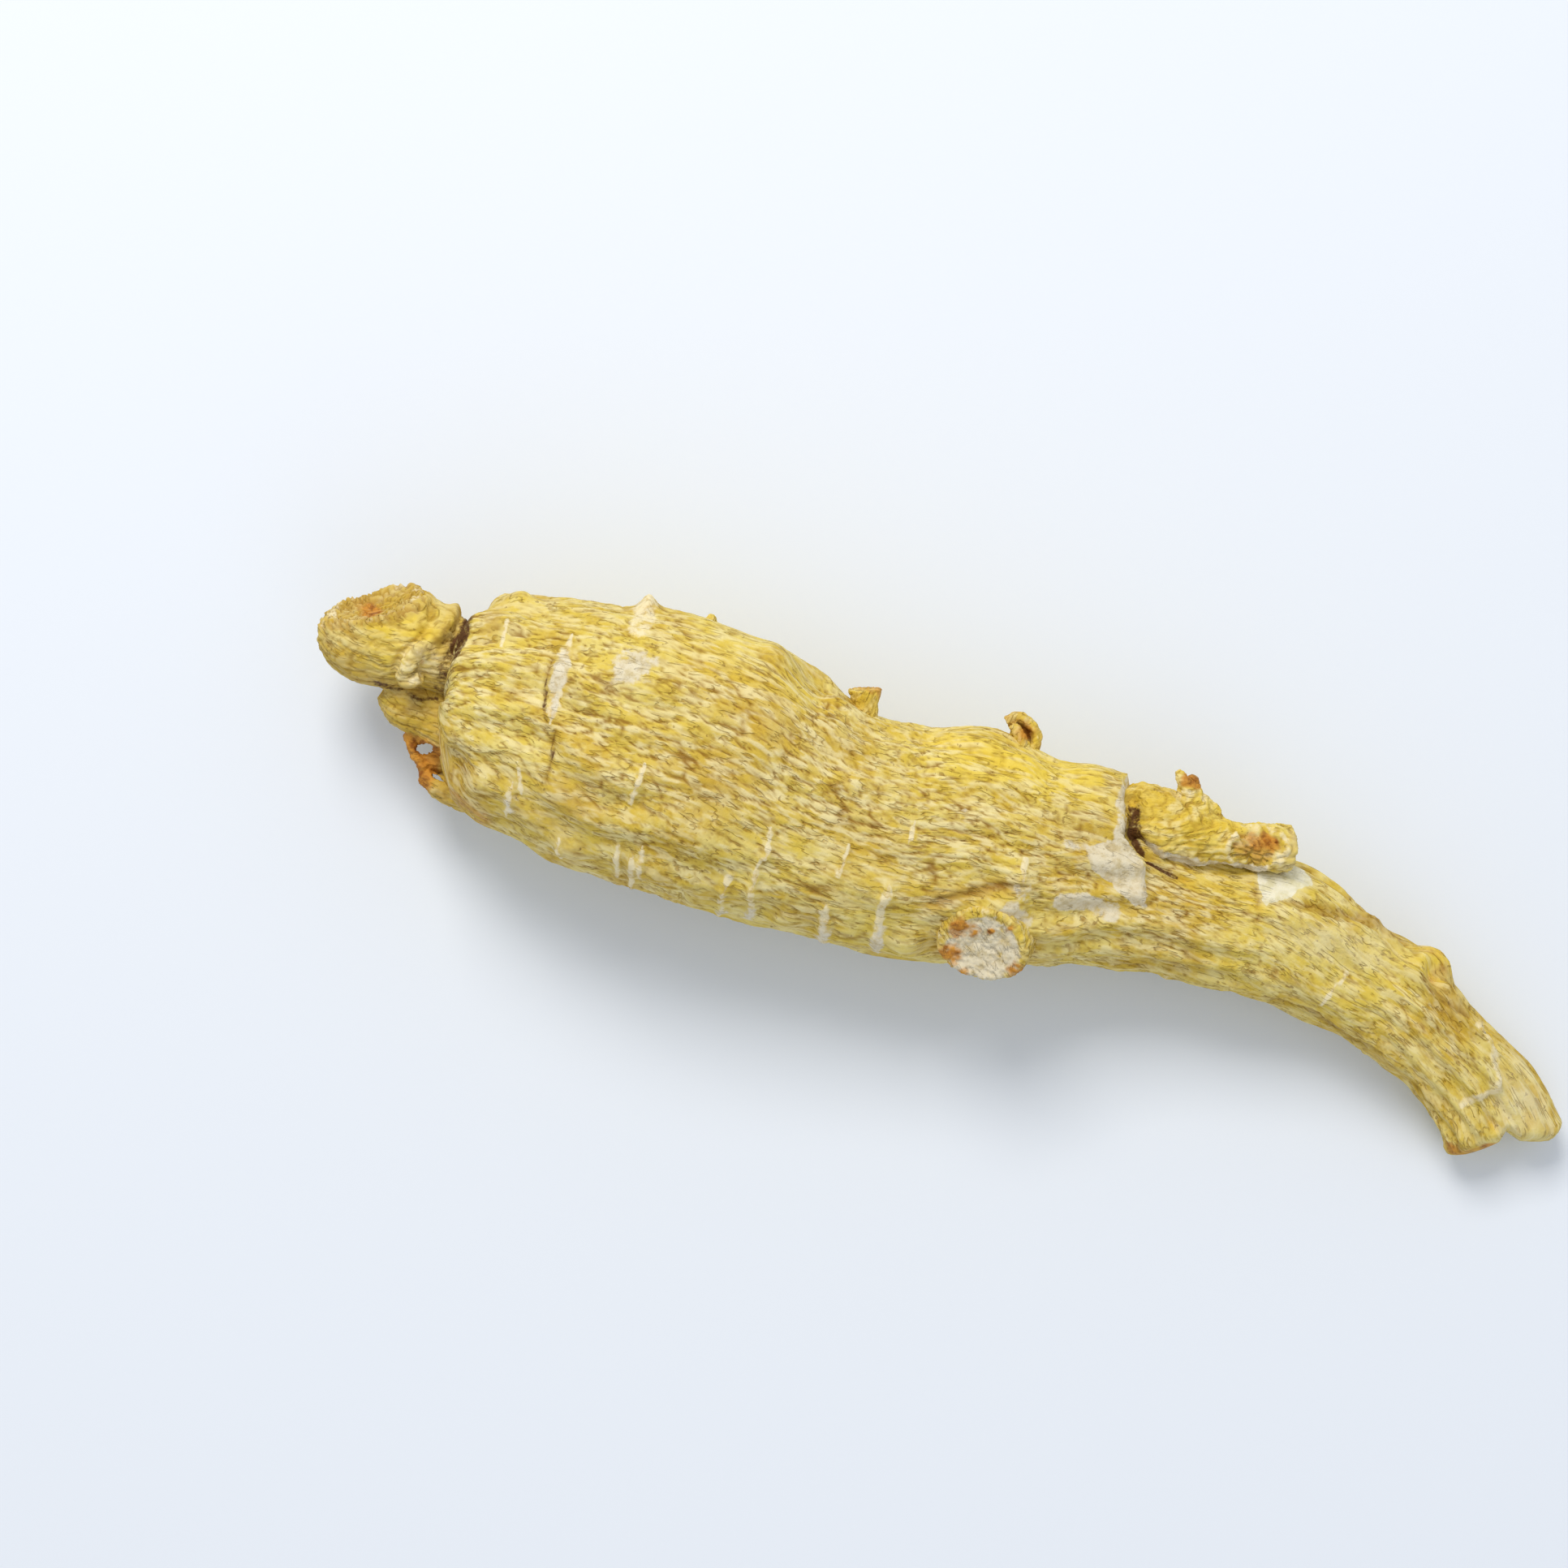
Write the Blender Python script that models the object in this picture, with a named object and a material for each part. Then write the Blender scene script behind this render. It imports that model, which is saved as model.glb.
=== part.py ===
"""A dried American ginseng root, whole, lying on its side: one solid in metres, +Z up.

Seen from above, the crown is at the -X end and the tail curves away towards +X and -Y. The stout body is a tube
swept along a curved middle line, its wrinkles, root scars and ring marks raised from the skin by a formula. The
crown with its stem scar and its pale new bud, the old bud beside it, a dried strand of skin with the thin web that
holds it, the knob of a cut side root, a broken side root with its spur and three broken rootlets are tubes of
their own, sunk well into what they grow from and fused to it.
"""

import math

import bmesh
import bpy
import numpy as np

MM = 0.001
# The middle of the root's box on the surface, in the millimetres that the tables below use. It becomes the origin.
BOX_MIDDLE = (49.97, 2.665)

# Down the root from crown to tail, in millimetres: the middle of the root seen from above (x, y), half its
# width, half its thickness, and how far its underside clears the surface. Under zero it is pressed flat.
BODY = (
    (10.6, -1.2, 6.5, 6.3, 2.2),
    (11.7, -0.8, 7.2, 6.9, 1.5),
    (12.8, -0.5, 7.8, 7.5, 0.9),
    (17.3, 0.2, 8.9, 8.5, 0.2),
    (22.6, 0.8, 9.9, 9.3, -0.1),
    (28.1, 1.5, 10.3, 9.6, -0.2),
    (33.0, 1.6, 10.1, 9.4, -0.2),
    (36.7, 1.2, 9.4, 9.0, -0.2),
    (41.9, 1.2, 8.6, 8.4, -0.1),
    (46.2, 1.8, 8.6, 8.0, 0.1),
    (51.3, 3.2, 8.6, 7.6, 0.3),
    (55.7, 4.0, 7.9, 7.1, 0.7),
    (60.0, 5.0, 7.1, 6.4, 1.0),
    (63.8, 5.3, 6.3, 5.8, 1.2),
    (67.4, 5.5, 5.7, 5.4, 1.3),
    (70.4, 5.8, 5.6, 5.2, 1.3),
    (73.4, 6.2, 5.6, 5.0, 1.2),
    (76.6, 5.9, 5.2, 4.7, 1.0),
    (80.1, 5.1, 4.6, 4.3, 0.7),
    (85.9, 4.1, 4.3, 4.0, 0.4),
    (89.8, 2.6, 3.8, 3.6, 0.2),
    (93.7, 0.6, 3.9, 3.2, -0.1),
    (96.2, -1.1, 4.1, 2.9, -0.2),
    (97.6, -2.5, 4.1, 2.5, 0.0),
)
# How far from each end the body starts to round off, and how many rings the rounding and the length take.
CROWN_DOME, TAIL_DOME = 1.7, 1.1
DOME_RINGS = 5
BODY_RINGS = 86
BODY_SIDES = 46
# The tail's torn end is forked: how deep the notch is, at what share across (1 is the upper edge), how wide.
FORK_DEPTH, FORK_SHARE, FORK_WIDTH = 1.1, -0.1, 0.35

# Other grown forms, in millimetres: middle x, y, z, half width, half thickness, from root to tip.
CROWN = (
    (13.2, 3.0, 8.6, 2.6, 2.8),
    (11.6, 2.9, 8.7, 2.7, 2.9),
    (10.0, 2.7, 8.8, 2.9, 3.1),
    (9.0, 2.7, 8.9, 3.5, 3.6),
    (7.8, 2.5, 8.9, 3.6, 3.7),
    (6.3, 2.4, 8.9, 4.1, 3.9),
    (4.9, 1.9, 8.8, 4.2, 3.9),
    (3.5, 1.3, 8.7, 3.8, 3.6),
    (2.2, 0.9, 8.6, 3.2, 3.1),
    (1.1, 0.6, 8.5, 2.4, 2.4),
    (0.3, 0.4, 8.4, 1.5, 1.6),
)
CROWN_RINGS, CROWN_SIDES = 26, 22
CROWN_MARKS = (3.7, 5.2)
# The scar of the last stem: a slanting flat face on the crown, through this place and looking this way.
STEM_SCAR_AT, STEM_SCAR_WAY = (3.4, 3.6, 9.4), (-0.56, 0.74, 0.37)
NEW_BUD = (
    (9.8, 1.7, 10.2, 1.5, 1.5),
    (8.9, 1.1, 11.4, 1.35, 1.3),
    (8.1, 0.8, 12.2, 1.15, 1.1),
    (7.5, 1.2, 12.8, 0.6, 0.6),
)
OLD_BUD = (
    (13.6, -1.9, 7.2, 2.9, 3.0),
    (11.4, -2.4, 7.2, 2.9, 2.7),
    (9.5, -2.6, 7.3, 2.4, 2.4),
    (7.8, -2.4, 7.5, 1.8, 1.9),
    (6.2, -1.9, 7.7, 1.0, 1.2),
)
STRAND = (
    (9.9, -3.2, 7.3, 0.9, 1.0),
    (9.3, -4.6, 7.0, 0.45, 0.7),
    (10.5, -6.0, 6.7, 0.4, 0.7),
    (11.6, -7.0, 6.5, 0.6, 0.8),
    (13.2, -7.3, 6.4, 1.0, 1.3),
    (15.6, -6.8, 6.6, 1.6, 2.0),
)
WEB = (
    (13.6, -4.8, 6.2, 1.5, 1.8),
    (12.0, -5.5, 6.3, 0.8, 1.1),
    (10.5, -6.1, 6.6, 0.45, 0.55),
)
KNOB = (
    (55.2, 0.6, 7.0, 3.6, 3.4),
    (55.0, -1.5, 10.0, 3.4, 3.3),
    (54.8, -2.5, 11.6, 3.3, 3.1),
    (54.7, -3.1, 12.5, 2.8, 2.6),
)
SIDE_ROOT = (
    (61.4, 8.6, 8.6, 3.5, 2.8),
    (63.9, 9.8, 9.4, 3.1, 2.9),
    (66.8, 10.2, 9.7, 2.1, 2.5),
    (69.4, 10.8, 9.6, 1.6, 2.1),
    (71.8, 11.5, 9.4, 1.7, 2.0),
    (73.4, 12.0, 9.2, 1.8, 1.9),
)
SPUR = (
    (66.4, 11.0, 9.7, 1.5, 1.3),
    (65.5, 12.7, 9.9, 0.8, 0.8),
    (64.6, 13.7, 10.0, 0.6, 0.5),
    (64.0, 14.5, 10.1, 0.3, 0.3),
)
# Broken rootlets standing on the upper edge: base x, y, z, tip x, y, z, half width at base and at tip.
ROOTLETS = (
    ((39.7, 8.9, 8.6), (39.7, 11.3, 9.2), 1.6, 0.9),
    ((51.4, 10.6, 8.2), (51.6, 13.4, 8.8), 1.2, 0.9),
    ((27.1, 10.6, 9.0), (27.0, 12.3, 9.4), 1.0, 0.4),
)

# Low round forms on the skin, in millimetres: where they lie seen from above (x, y), their half length along
# the root, their half width round it, and how high they stand. Under zero they are hollows.
FACE_BUMPS = (
    (55.0, 1.2, 1.6, 2.6, 0.8),
    (22.5, 10.5, 1.0, 1.6, 0.9),
    (12.1, 6.6, 0.9, 1.8, 1.0),
    (32.6, 10.9, 1.2, 2.4, 0.5),
    (36.2, 10.3, 2.3, 3.2, -1.0),
    (44.6, -5.8, 1.3, 1.6, 0.5),
    (49.4, -4.8, 1.2, 1.8, 0.6),
    (40.4, -6.4, 1.1, 1.5, 0.5),
    (33.5, -7.4, 1.3, 1.4, 0.4),
    (23.5, -7.6, 1.2, 1.6, 0.5),
    (87.2, 7.0, 1.6, 1.5, 0.7),
    (88.0, 6.6, 1.1, 1.0, -1.0),
    (81.4, 8.8, 1.5, 1.3, 0.5),
    (84.4, 7.9, 1.2, 1.3, -0.6),
    (88.9, -1.0, 1.6, 1.4, -0.5),
    (13.8, -5.2, 1.6, 2.0, -1.6),
)
# The same on the underside, where the root lies: each stands out past the skin to the side of its weight.
BACK_BUMPS = (
    (23.0, 1.6, 2.4, 2.6, 0.6),
    (31.0, -3.4, 1.8, 2.2, 0.8),
    (42.5, 3.4, 2.2, 2.4, 0.7),
    (63.0, 2.2, 1.4, 1.8, 0.6),
    (78.0, 7.4, 1.2, 1.4, 0.5),
)
# Ring marks across the root, in millimetres. On the upper face each is a line seen from above, from one place
# (x, y) to another, with its height. On the underside each has its distance along the middle line, the angles
# round the root between which it runs (180 at the lower edge seen from above, 270 below), and its height.
RING_HALF_WIDTH = 0.62
FACE_MARKS = (
    ((26.7, 0.2), (26.7, -3.3), 0.35),
    ((28.2, -6.0), (28.9, -8.7), 0.35),
    ((26.9, -5.7), (27.7, -8.5), 0.35),
    ((35.4, -4.4), (35.8, -8.3), 0.45),
    ((36.7, -0.4), (37.3, -3.5), 0.35),
    ((37.1, -3.4), (38.0, -7.5), 0.45),
    ((42.7, 0.4), (42.7, -2.5), 0.3),
    ((42.7, -4.2), (43.8, -7.4), 0.5),
    ((46.5, -1.0), (47.5, -6.3), 0.5),
    ((46.5, 3.5), (46.7, 1.8), 0.3),
    ((55.0, 4.3), (55.5, 2.1), 0.35),
    ((22.6, -6.8), (23.4, -8.5), 0.35),
    ((18.0, -3.1), (18.5, -7.0), 0.3),
    ((22.2, 11.0), (22.4, 10.0), 0.35),
    ((13.3, 5.7), (13.6, 4.1), 0.3),
    ((80.9, 5.1), (79.9, 1.9), 0.25),
    ((92.1, 5.1), (94.9, 1.4), 0.3),
    ((73.5, 7.4), (85.7, 7.9), 0.3),
)
BACK_MARKS = (
    (12.1, -60, 0, 0.3),
    (16.0, 200, 260, 0.35),
    (24.2, 200, 250, 0.35),
    (33.2, 200, 250, 0.35),
    (50.0, 220, 330, 0.35),
    (58.5, 200, 300, 0.3),
    (77.0, 200, 340, 0.3),
)
# Where the body's skin ends in a torn step and the thinner tail goes on, seen from above.
STEP_TOP, STEP_LOW = (60.6, 12.4), (64.6, 3.6)
STEP_HEIGHT = 1.1

FOLD_COUNT = 12
FOLD_HEIGHT = 0.34
NET_HEIGHT = 0.16
SQUARENESS = 2.25

SKIN_COLOUR = (0.60, 0.42, 0.12, 1.0)
SKIN_ROUGHNESS = 0.82


def clear_scene():
    for thing in list(bpy.data.objects):
        bpy.data.objects.remove(thing, do_unlink=True)


def smooth(knots, table, at):
    """The rows of the table read at these distances, on one smooth curve through all of them."""
    table = np.asarray(table, float)
    slope = np.gradient(table, knots, axis=0)
    i = np.clip(np.searchsorted(knots, at, side="right") - 1, 0, len(knots) - 2)
    span = (knots[i + 1] - knots[i])[..., None]
    t = (np.asarray(at)[..., None] - knots[i][..., None]) / span
    return (
        (2 * t**3 - 3 * t**2 + 1) * table[i]
        + (t**3 - 2 * t**2 + t) * span * slope[i]
        + (3 * t**2 - 2 * t**3) * table[i + 1]
        + (t**3 - t**2) * span * slope[i + 1]
    )


def distances(points):
    """Running length along a list of points."""
    steps = np.linalg.norm(np.diff(np.asarray(points, float), axis=0), axis=1)
    return np.concatenate([[0.0], np.cumsum(steps)])


def body_rows(along):
    """The body's middle x, y, half width, half thickness and clearance at these distances."""
    table = np.array(BODY)
    return smooth(distances(table[:, :2]), table, along)


def across(along):
    """The direction level across the body, from its middle line to the upper edge seen from above."""
    step = 0.4
    ahead, behind = body_rows(along + step), body_rows(along - step)
    way = ahead[..., :2] - behind[..., :2]
    way /= np.linalg.norm(way, axis=-1, keepdims=True)
    return np.stack([-way[..., 1], way[..., 0]], axis=-1)


def locate(x, y, underside=False):
    """The distance along the body and the angle round it of a place seen from above."""
    along = np.linspace(0, distances(np.array(BODY)[:, :2])[-1], 400)
    rows = body_rows(along)
    nearest = int(np.argmin(np.hypot(rows[:, 0] - x, rows[:, 1] - y)))
    side = across(along)[nearest]
    share = (x - rows[nearest, 0]) * side[0] + (y - rows[nearest, 1]) * side[1]
    angle = math.acos(max(-0.98, min(0.98, share / rows[nearest, 2])))
    return along[nearest], -angle if underside else angle


def turned(angle, middle):
    """How far an angle is from another, the short way round."""
    return (angle - middle + math.pi) % (2 * math.pi) - math.pi


def off_line(x, y, start, end):
    """Distance of each place from the straight line between two places, all seen from above."""
    way = (end[0] - start[0], end[1] - start[1])
    share = ((x - start[0]) * way[0] + (y - start[1]) * way[1]) / (way[0] ** 2 + way[1] ** 2)
    share = np.clip(share, 0, 1)
    return np.hypot(x - start[0] - share * way[0], y - start[1] - share * way[1])


def step_down(x, angle, y):
    """The torn edge of the body's skin: a drop past the slanting line, on the upper face only."""
    share = np.clip((STEP_TOP[1] - y) / (STEP_TOP[1] - STEP_LOW[1]), 0, 1)
    edge = STEP_TOP[0] + share * (STEP_LOW[0] - STEP_TOP[0])
    past = 1 / (1 + np.exp(-(x - edge) / 0.25))
    recovered = 1 / (1 + np.exp(-(x - 75.0) / 1.6))
    reach = np.clip(1.6 - np.abs(turned(angle, math.radians(35))) / math.radians(55), 0, 1)
    return -STEP_HEIGHT * past * (1 - recovered) * reach


def folds(along, angle):
    """Long wavy ribs that fade in and out, and a coarse net of short wrinkles over them."""
    wander = 0.7 * np.sin(0.21 * along + 1.0) + 0.35 * np.sin(0.53 * along + 2.1 * angle)
    ribs = np.sin(FOLD_COUNT * (angle + 0.16 * wander) + 0.5 * np.sin(0.34 * along))
    fade = 0.55 + 0.45 * np.sin(0.17 * along + 2.0 * np.cos(angle))
    net = np.sin(17 * angle + 2.2 * np.sin(0.7 * along)) * np.sin(1.5 * along + 3 * angle)
    return FOLD_HEIGHT * fade * ribs + NET_HEIGHT * net


def relief(along, angle):
    """How far the body's skin stands out from its plain tube, in millimetres."""
    rows, side = body_rows(along), across(along)
    width = rows[..., 2]
    seen_x = rows[..., 0] + side[..., 0] * width * np.cos(angle)
    seen_y = rows[..., 1] + side[..., 1] * width * np.cos(angle)
    height = folds(along, angle) + step_down(seen_x, angle, seen_y)
    for bumps, underside in ((FACE_BUMPS, False), (BACK_BUMPS, True)):
        for x, y, long, wide, high in bumps:
            at, turn = locate(x, y, underside)
            off = ((along - at) / long) ** 2 + (turned(angle, turn) * width / wide) ** 2
            height = height + high * np.exp(-1.4 * off**1.3)
    looks_up = np.clip(np.sin(angle) * 4 + 0.8, 0, 1)
    for start, end, high in FACE_MARKS:
        off = off_line(seen_x, seen_y, start, end) / RING_HALF_WIDTH
        height = height + high * looks_up * np.exp(-(off**2))
    for at, first, last, high in BACK_MARKS:
        middle, half = math.radians((first + last) / 2), math.radians((last - first) / 2)
        reach = np.clip(1.25 - np.abs(turned(angle, middle)) / half, 0, 0.25) / 0.25
        wavy = at + 0.35 * np.sin(3.0 * angle + at)
        height = height + high * reach * np.exp(-(((along - wavy) / RING_HALF_WIDTH) ** 2))
    ends = np.clip(along / 2.0, 0, 1) * np.clip((distances(np.array(BODY)[:, :2])[-1] - along) / 2.0, 0.25, 1)
    return height * ends


def round_section(angle):
    """A rounded-square section's reach at each angle, where a circle has 1."""
    p = SQUARENESS
    return (np.abs(np.cos(angle)) ** p + np.abs(np.sin(angle)) ** p) ** (-1 / p)


def rounding(along, length):
    """The share of its full reach that a section has at this distance: 1, and less in the domes at the ends."""
    from_crown = 1 - np.clip(along / CROWN_DOME, 0, 1)
    from_tail = 1 - np.clip((length - along) / TAIL_DOME, 0, 1)
    return np.sqrt(np.clip(1 - from_crown**2, 0, 1)) * np.sqrt(np.clip(1 - from_tail**2, 0, 1))


def ring_places(length):
    """Distances of the rings: even over the length, closing up in the domes at the ends."""
    quarter = (np.arange(DOME_RINGS) + 0.35) / DOME_RINGS * math.pi / 2
    crown = CROWN_DOME * (1 - np.cos(quarter))
    tail = length - TAIL_DOME * (1 - np.cos(quarter))
    return np.concatenate([crown, np.linspace(CROWN_DOME, length - TAIL_DOME, BODY_RINGS), tail[::-1]])


def body_points():
    """Rings of points over the whole body, each pressed flat where it would pass the surface it lies on."""
    length = distances(np.array(BODY)[:, :2])[-1]
    along, angle = np.meshgrid(
        ring_places(length),
        np.arange(BODY_SIDES) * 2 * math.pi / BODY_SIDES,
        indexing="ij",
    )
    rows = body_rows(along)
    reach = rounding(along, length)
    high = relief(along, angle)
    fork = FORK_DEPTH * np.exp(-(((np.cos(angle) - FORK_SHARE) / FORK_WIDTH) ** 2))
    rows = body_rows(along - fork * np.clip(1 - (length - along) / 3.0, 0, 1) ** 2)
    side = across(along)
    section = round_section(angle)
    out = np.cos(angle) * (rows[..., 2] * section + high) * reach
    up = np.sin(angle) * (rows[..., 3] * section + high) * reach
    middle_height = rows[..., 3] + rows[..., 4]
    return np.stack(
        [
            rows[..., 0] + side[..., 0] * out,
            rows[..., 1] + side[..., 1] * out,
            np.maximum(middle_height + up, 0.0),
        ],
        axis=-1,
    )


def crown_points():
    """The crown's tube, flattened and a little dished where the last stem came away."""
    points = tube_points(CROWN, CROWN_RINGS, CROWN_SIDES, 0.05)
    middle = points.mean(axis=1, keepdims=True)
    turn = np.arange(CROWN_SIDES) * 2 * math.pi / CROWN_SIDES
    along = np.linspace(0, 13.0, CROWN_RINGS)
    fibre = 0.045 * np.sin(7 * turn[None, :] + 0.5 * np.sin(0.8 * along)[:, None])
    marks = sum(0.10 * np.exp(-(((along - at) / 0.45) ** 2)) for at in CROWN_MARKS)
    points = middle + (points - middle) * (1 + fibre + marks[:, None])[..., None]
    way = np.array(STEM_SCAR_WAY) / np.linalg.norm(STEM_SCAR_WAY)
    past = (points - np.array(STEM_SCAR_AT)) @ way
    dish = 0.35 * np.clip(past, 0, 1.4)
    return points - (np.clip(past, 0, None) + dish)[..., None] * way


def tube_points(table, rings, sides, knobbly=0.0):
    """Rings of points round a tube through the table's middles, at its half widths and half thicknesses."""
    table = np.array(table, float)
    knots = distances(table[:, :3])
    along = np.linspace(0, knots[-1], rings)
    rows = smooth(knots, table, along)
    way = np.gradient(rows[:, :3], axis=0)
    way /= np.linalg.norm(way, axis=1, keepdims=True)
    level = np.cross(np.array([0.0, 0.0, 1.0]), way)
    level /= np.linalg.norm(level, axis=1, keepdims=True)
    upward = np.cross(way, level)
    points = []
    for k in range(sides):
        angle = 2 * math.pi * k / sides
        lumps = 1 + knobbly * np.sin(3 * angle + 1.3 * along) * np.sin(1.1 * along + 2 * angle)
        points.append(
            rows[:, :3]
            + level * (math.cos(angle) * rows[:, 3] * lumps)[:, None]
            + upward * (math.sin(angle) * rows[:, 4] * lumps)[:, None]
        )
    return np.stack(points, axis=1)


def skinned(name, points):
    """A closed mesh object over rings of points, each end filled by one face."""
    shifted = (points - np.array([*BOX_MIDDLE, 0.0])) * MM
    mesh = bpy.data.meshes.new(name)
    made = bmesh.new()
    rings = [[made.verts.new(p) for p in ring] for ring in shifted]
    for ring, following in zip(rings, rings[1:]):
        for k in range(len(ring)):
            after = (k + 1) % len(ring)
            made.faces.new((ring[k], ring[after], following[after], following[k]))
    made.faces.new(rings[0])
    made.faces.new(rings[-1])
    bmesh.ops.recalc_face_normals(made, faces=made.faces)
    bmesh.ops.triangulate(made, faces=[f for f in made.faces if len(f.verts) > 4])
    made.to_mesh(mesh)
    made.free()
    thing = bpy.data.objects.new(name, mesh)
    bpy.context.scene.collection.objects.link(thing)
    return thing


def rootlet(name, base, tip, base_half, tip_half):
    """A short broken rootlet, a little waisted, from inside the skin to its torn end."""
    middle = [(a + b) / 2 for a, b in zip(base, tip)]
    waist = 0.42 * (base_half + tip_half)
    table = ((*base, base_half, base_half), (*middle, waist, waist), (*tip, tip_half, tip_half))
    return skinned(name, tube_points(table, 5, 8, 0.12))


def fuse(body, growths):
    """One Boolean union of everything grown on the body, applied, with the loose pieces then removed."""
    held = bpy.data.collections.new("growths")
    for growth in growths:
        held.objects.link(growth)
    join = body.modifiers.new("fuse", "BOOLEAN")
    join.operation = "UNION"
    join.operand_type = "COLLECTION"
    join.collection = held
    join.solver = "MANIFOLD"
    bpy.context.view_layer.objects.active = body
    bpy.ops.object.modifier_apply(modifier=join.name)
    for growth in growths:
        bpy.data.objects.remove(growth, do_unlink=True)
    bpy.data.collections.remove(held)


def join_flat_spots(thing):
    """Makes one face of each spot where the root is pressed flat on the surface."""
    made = bmesh.new()
    made.from_mesh(thing.data)
    flat = [face for face in made.faces if all(corner.co.z < 1e-7 for corner in face.verts)]
    bmesh.ops.dissolve_faces(made, faces=flat, use_verts=True)
    made.to_mesh(thing.data)
    made.free()


def skin_material():
    skin = bpy.data.materials.new("dried_root_skin")
    skin.use_nodes = True
    shader = skin.node_tree.nodes["Principled BSDF"]
    shader.inputs["Base Color"].default_value = SKIN_COLOUR
    shader.inputs["Roughness"].default_value = SKIN_ROUGHNESS
    shader.inputs["Metallic"].default_value = 0.0
    return skin


def main():
    clear_scene()
    root = skinned("ginseng_root", body_points())
    growths = [
        skinned("crown", crown_points()),
        skinned("new_bud", tube_points(NEW_BUD, 7, 10, 0.08)),
        skinned("old_bud", tube_points(OLD_BUD, 10, 14, 0.05)),
        skinned("strand", tube_points(STRAND, 12, 8)),
        skinned("web", tube_points(WEB, 6, 8)),
        skinned("knob", tube_points(KNOB, 8, 16, 0.06)),
        skinned("side_root", tube_points(SIDE_ROOT, 14, 16, 0.07)),
        skinned("spur", tube_points(SPUR, 7, 7)),
    ]
    growths += [rootlet(f"rootlet_{k}", *sizes) for k, sizes in enumerate(ROOTLETS, 1)]
    fuse(root, growths)
    join_flat_spots(root)
    root.data.materials.clear()
    root.data.materials.append(skin_material())
    root.data.shade_smooth()


main()
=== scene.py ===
"""A dried American ginseng root lying on its side on a pale surface, seen from straight above.

Lengths in the tables are millimetres. x runs from the crown's end to the tail, y across the root towards
the side that is up in the picture, z up towards the camera. ORIGIN is the middle of the root's box on the
surface, which is the scene's origin.
"""

import math

import bpy
import numpy as np
from mathutils import Matrix, Vector


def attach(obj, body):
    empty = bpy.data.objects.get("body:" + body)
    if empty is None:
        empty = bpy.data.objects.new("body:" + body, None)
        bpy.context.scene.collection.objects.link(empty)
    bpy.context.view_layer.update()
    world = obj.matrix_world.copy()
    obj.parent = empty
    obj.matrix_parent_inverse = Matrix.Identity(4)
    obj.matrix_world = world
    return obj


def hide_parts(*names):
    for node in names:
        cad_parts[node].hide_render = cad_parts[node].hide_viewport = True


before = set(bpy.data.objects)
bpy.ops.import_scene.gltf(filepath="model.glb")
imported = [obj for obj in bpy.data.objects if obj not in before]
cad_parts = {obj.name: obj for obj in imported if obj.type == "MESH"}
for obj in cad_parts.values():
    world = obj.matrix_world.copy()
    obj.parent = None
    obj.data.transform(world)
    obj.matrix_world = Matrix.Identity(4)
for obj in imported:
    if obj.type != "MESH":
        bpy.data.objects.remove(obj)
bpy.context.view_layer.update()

MM = 0.001
ORIGIN = np.array((49.97, 2.665, 0.0))

# The root's forms

# Body from crown to tail: middle x, y, half width, half thickness, clearance of the underside.
BODY = (
    (10.6, -1.2, 6.5, 6.3, 2.2), (11.7, -0.8, 7.2, 6.9, 1.5), (12.8, -0.5, 7.8, 7.5, 0.9),
    (17.3, 0.2, 8.9, 8.5, 0.2), (22.6, 0.8, 9.9, 9.3, -0.1), (28.1, 1.5, 10.3, 9.6, -0.2),
    (33.0, 1.6, 10.1, 9.4, -0.2), (36.7, 1.2, 9.4, 9.0, -0.2), (41.9, 1.2, 8.6, 8.4, -0.1),
    (46.2, 1.8, 8.6, 8.0, 0.1), (51.3, 3.2, 8.6, 7.6, 0.3), (55.7, 4.0, 7.9, 7.1, 0.7),
    (60.0, 5.0, 7.1, 6.4, 1.0), (63.8, 5.3, 6.3, 5.8, 1.2), (67.4, 5.5, 5.7, 5.4, 1.3),
    (70.4, 5.8, 5.6, 5.2, 1.3), (73.4, 6.2, 5.6, 5.0, 1.2), (76.6, 5.9, 5.2, 4.7, 1.0),
    (80.1, 5.1, 4.6, 4.3, 0.7), (85.9, 4.1, 4.3, 4.0, 0.4), (89.8, 2.6, 3.8, 3.6, 0.2),
    (93.9, 0.8, 4.1, 3.2, -0.1), (96.4, -0.9, 4.4, 2.9, -0.2), (97.8, -2.3, 4.4, 2.5, 0.0),
)
CROWN_DOME, TAIL_DOME = 1.3, 1.1
# How much longer the tail's end is, across it from lower to upper edge: two lobes with a notch between.
TAIL_END = (
    (-1.0, 0.3), (-0.6, 0.0), (-0.15, -0.2), (0.02, -0.8), (0.1, -0.7), (0.2, 0.4), (0.69, 1.7),
    (1.0, 1.8),
)
BODY_RINGS, BODY_SIDES, DOME_RINGS = 336, 290, 9

# Grown forms: middle x, y, z, half width, half thickness, from root to tip.
CROWN = (
    (13.6, 2.6, 8.6, 3.2, 3.6), (11.9, 2.3, 8.7, 3.1, 3.6), (10.3, 2.2, 8.8, 2.9, 3.5),
    (9.2, 2.3, 8.9, 3.1, 3.6), (7.8, 2.3, 8.9, 3.4, 3.7), (6.3, 2.2, 8.9, 3.9, 3.9),
    (4.9, 1.9, 8.8, 4.2, 3.9), (3.5, 1.3, 8.7, 3.8, 3.6), (2.2, 0.9, 8.6, 3.2, 3.1),
    (1.1, 0.6, 8.5, 2.4, 2.4), (0.3, 0.4, 8.4, 1.5, 1.6),
)
STEM_SCAR_AT, STEM_SCAR_WAY = np.array((3.4, 3.6, 9.4)), np.array((-0.56, 0.74, 0.37))
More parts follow.
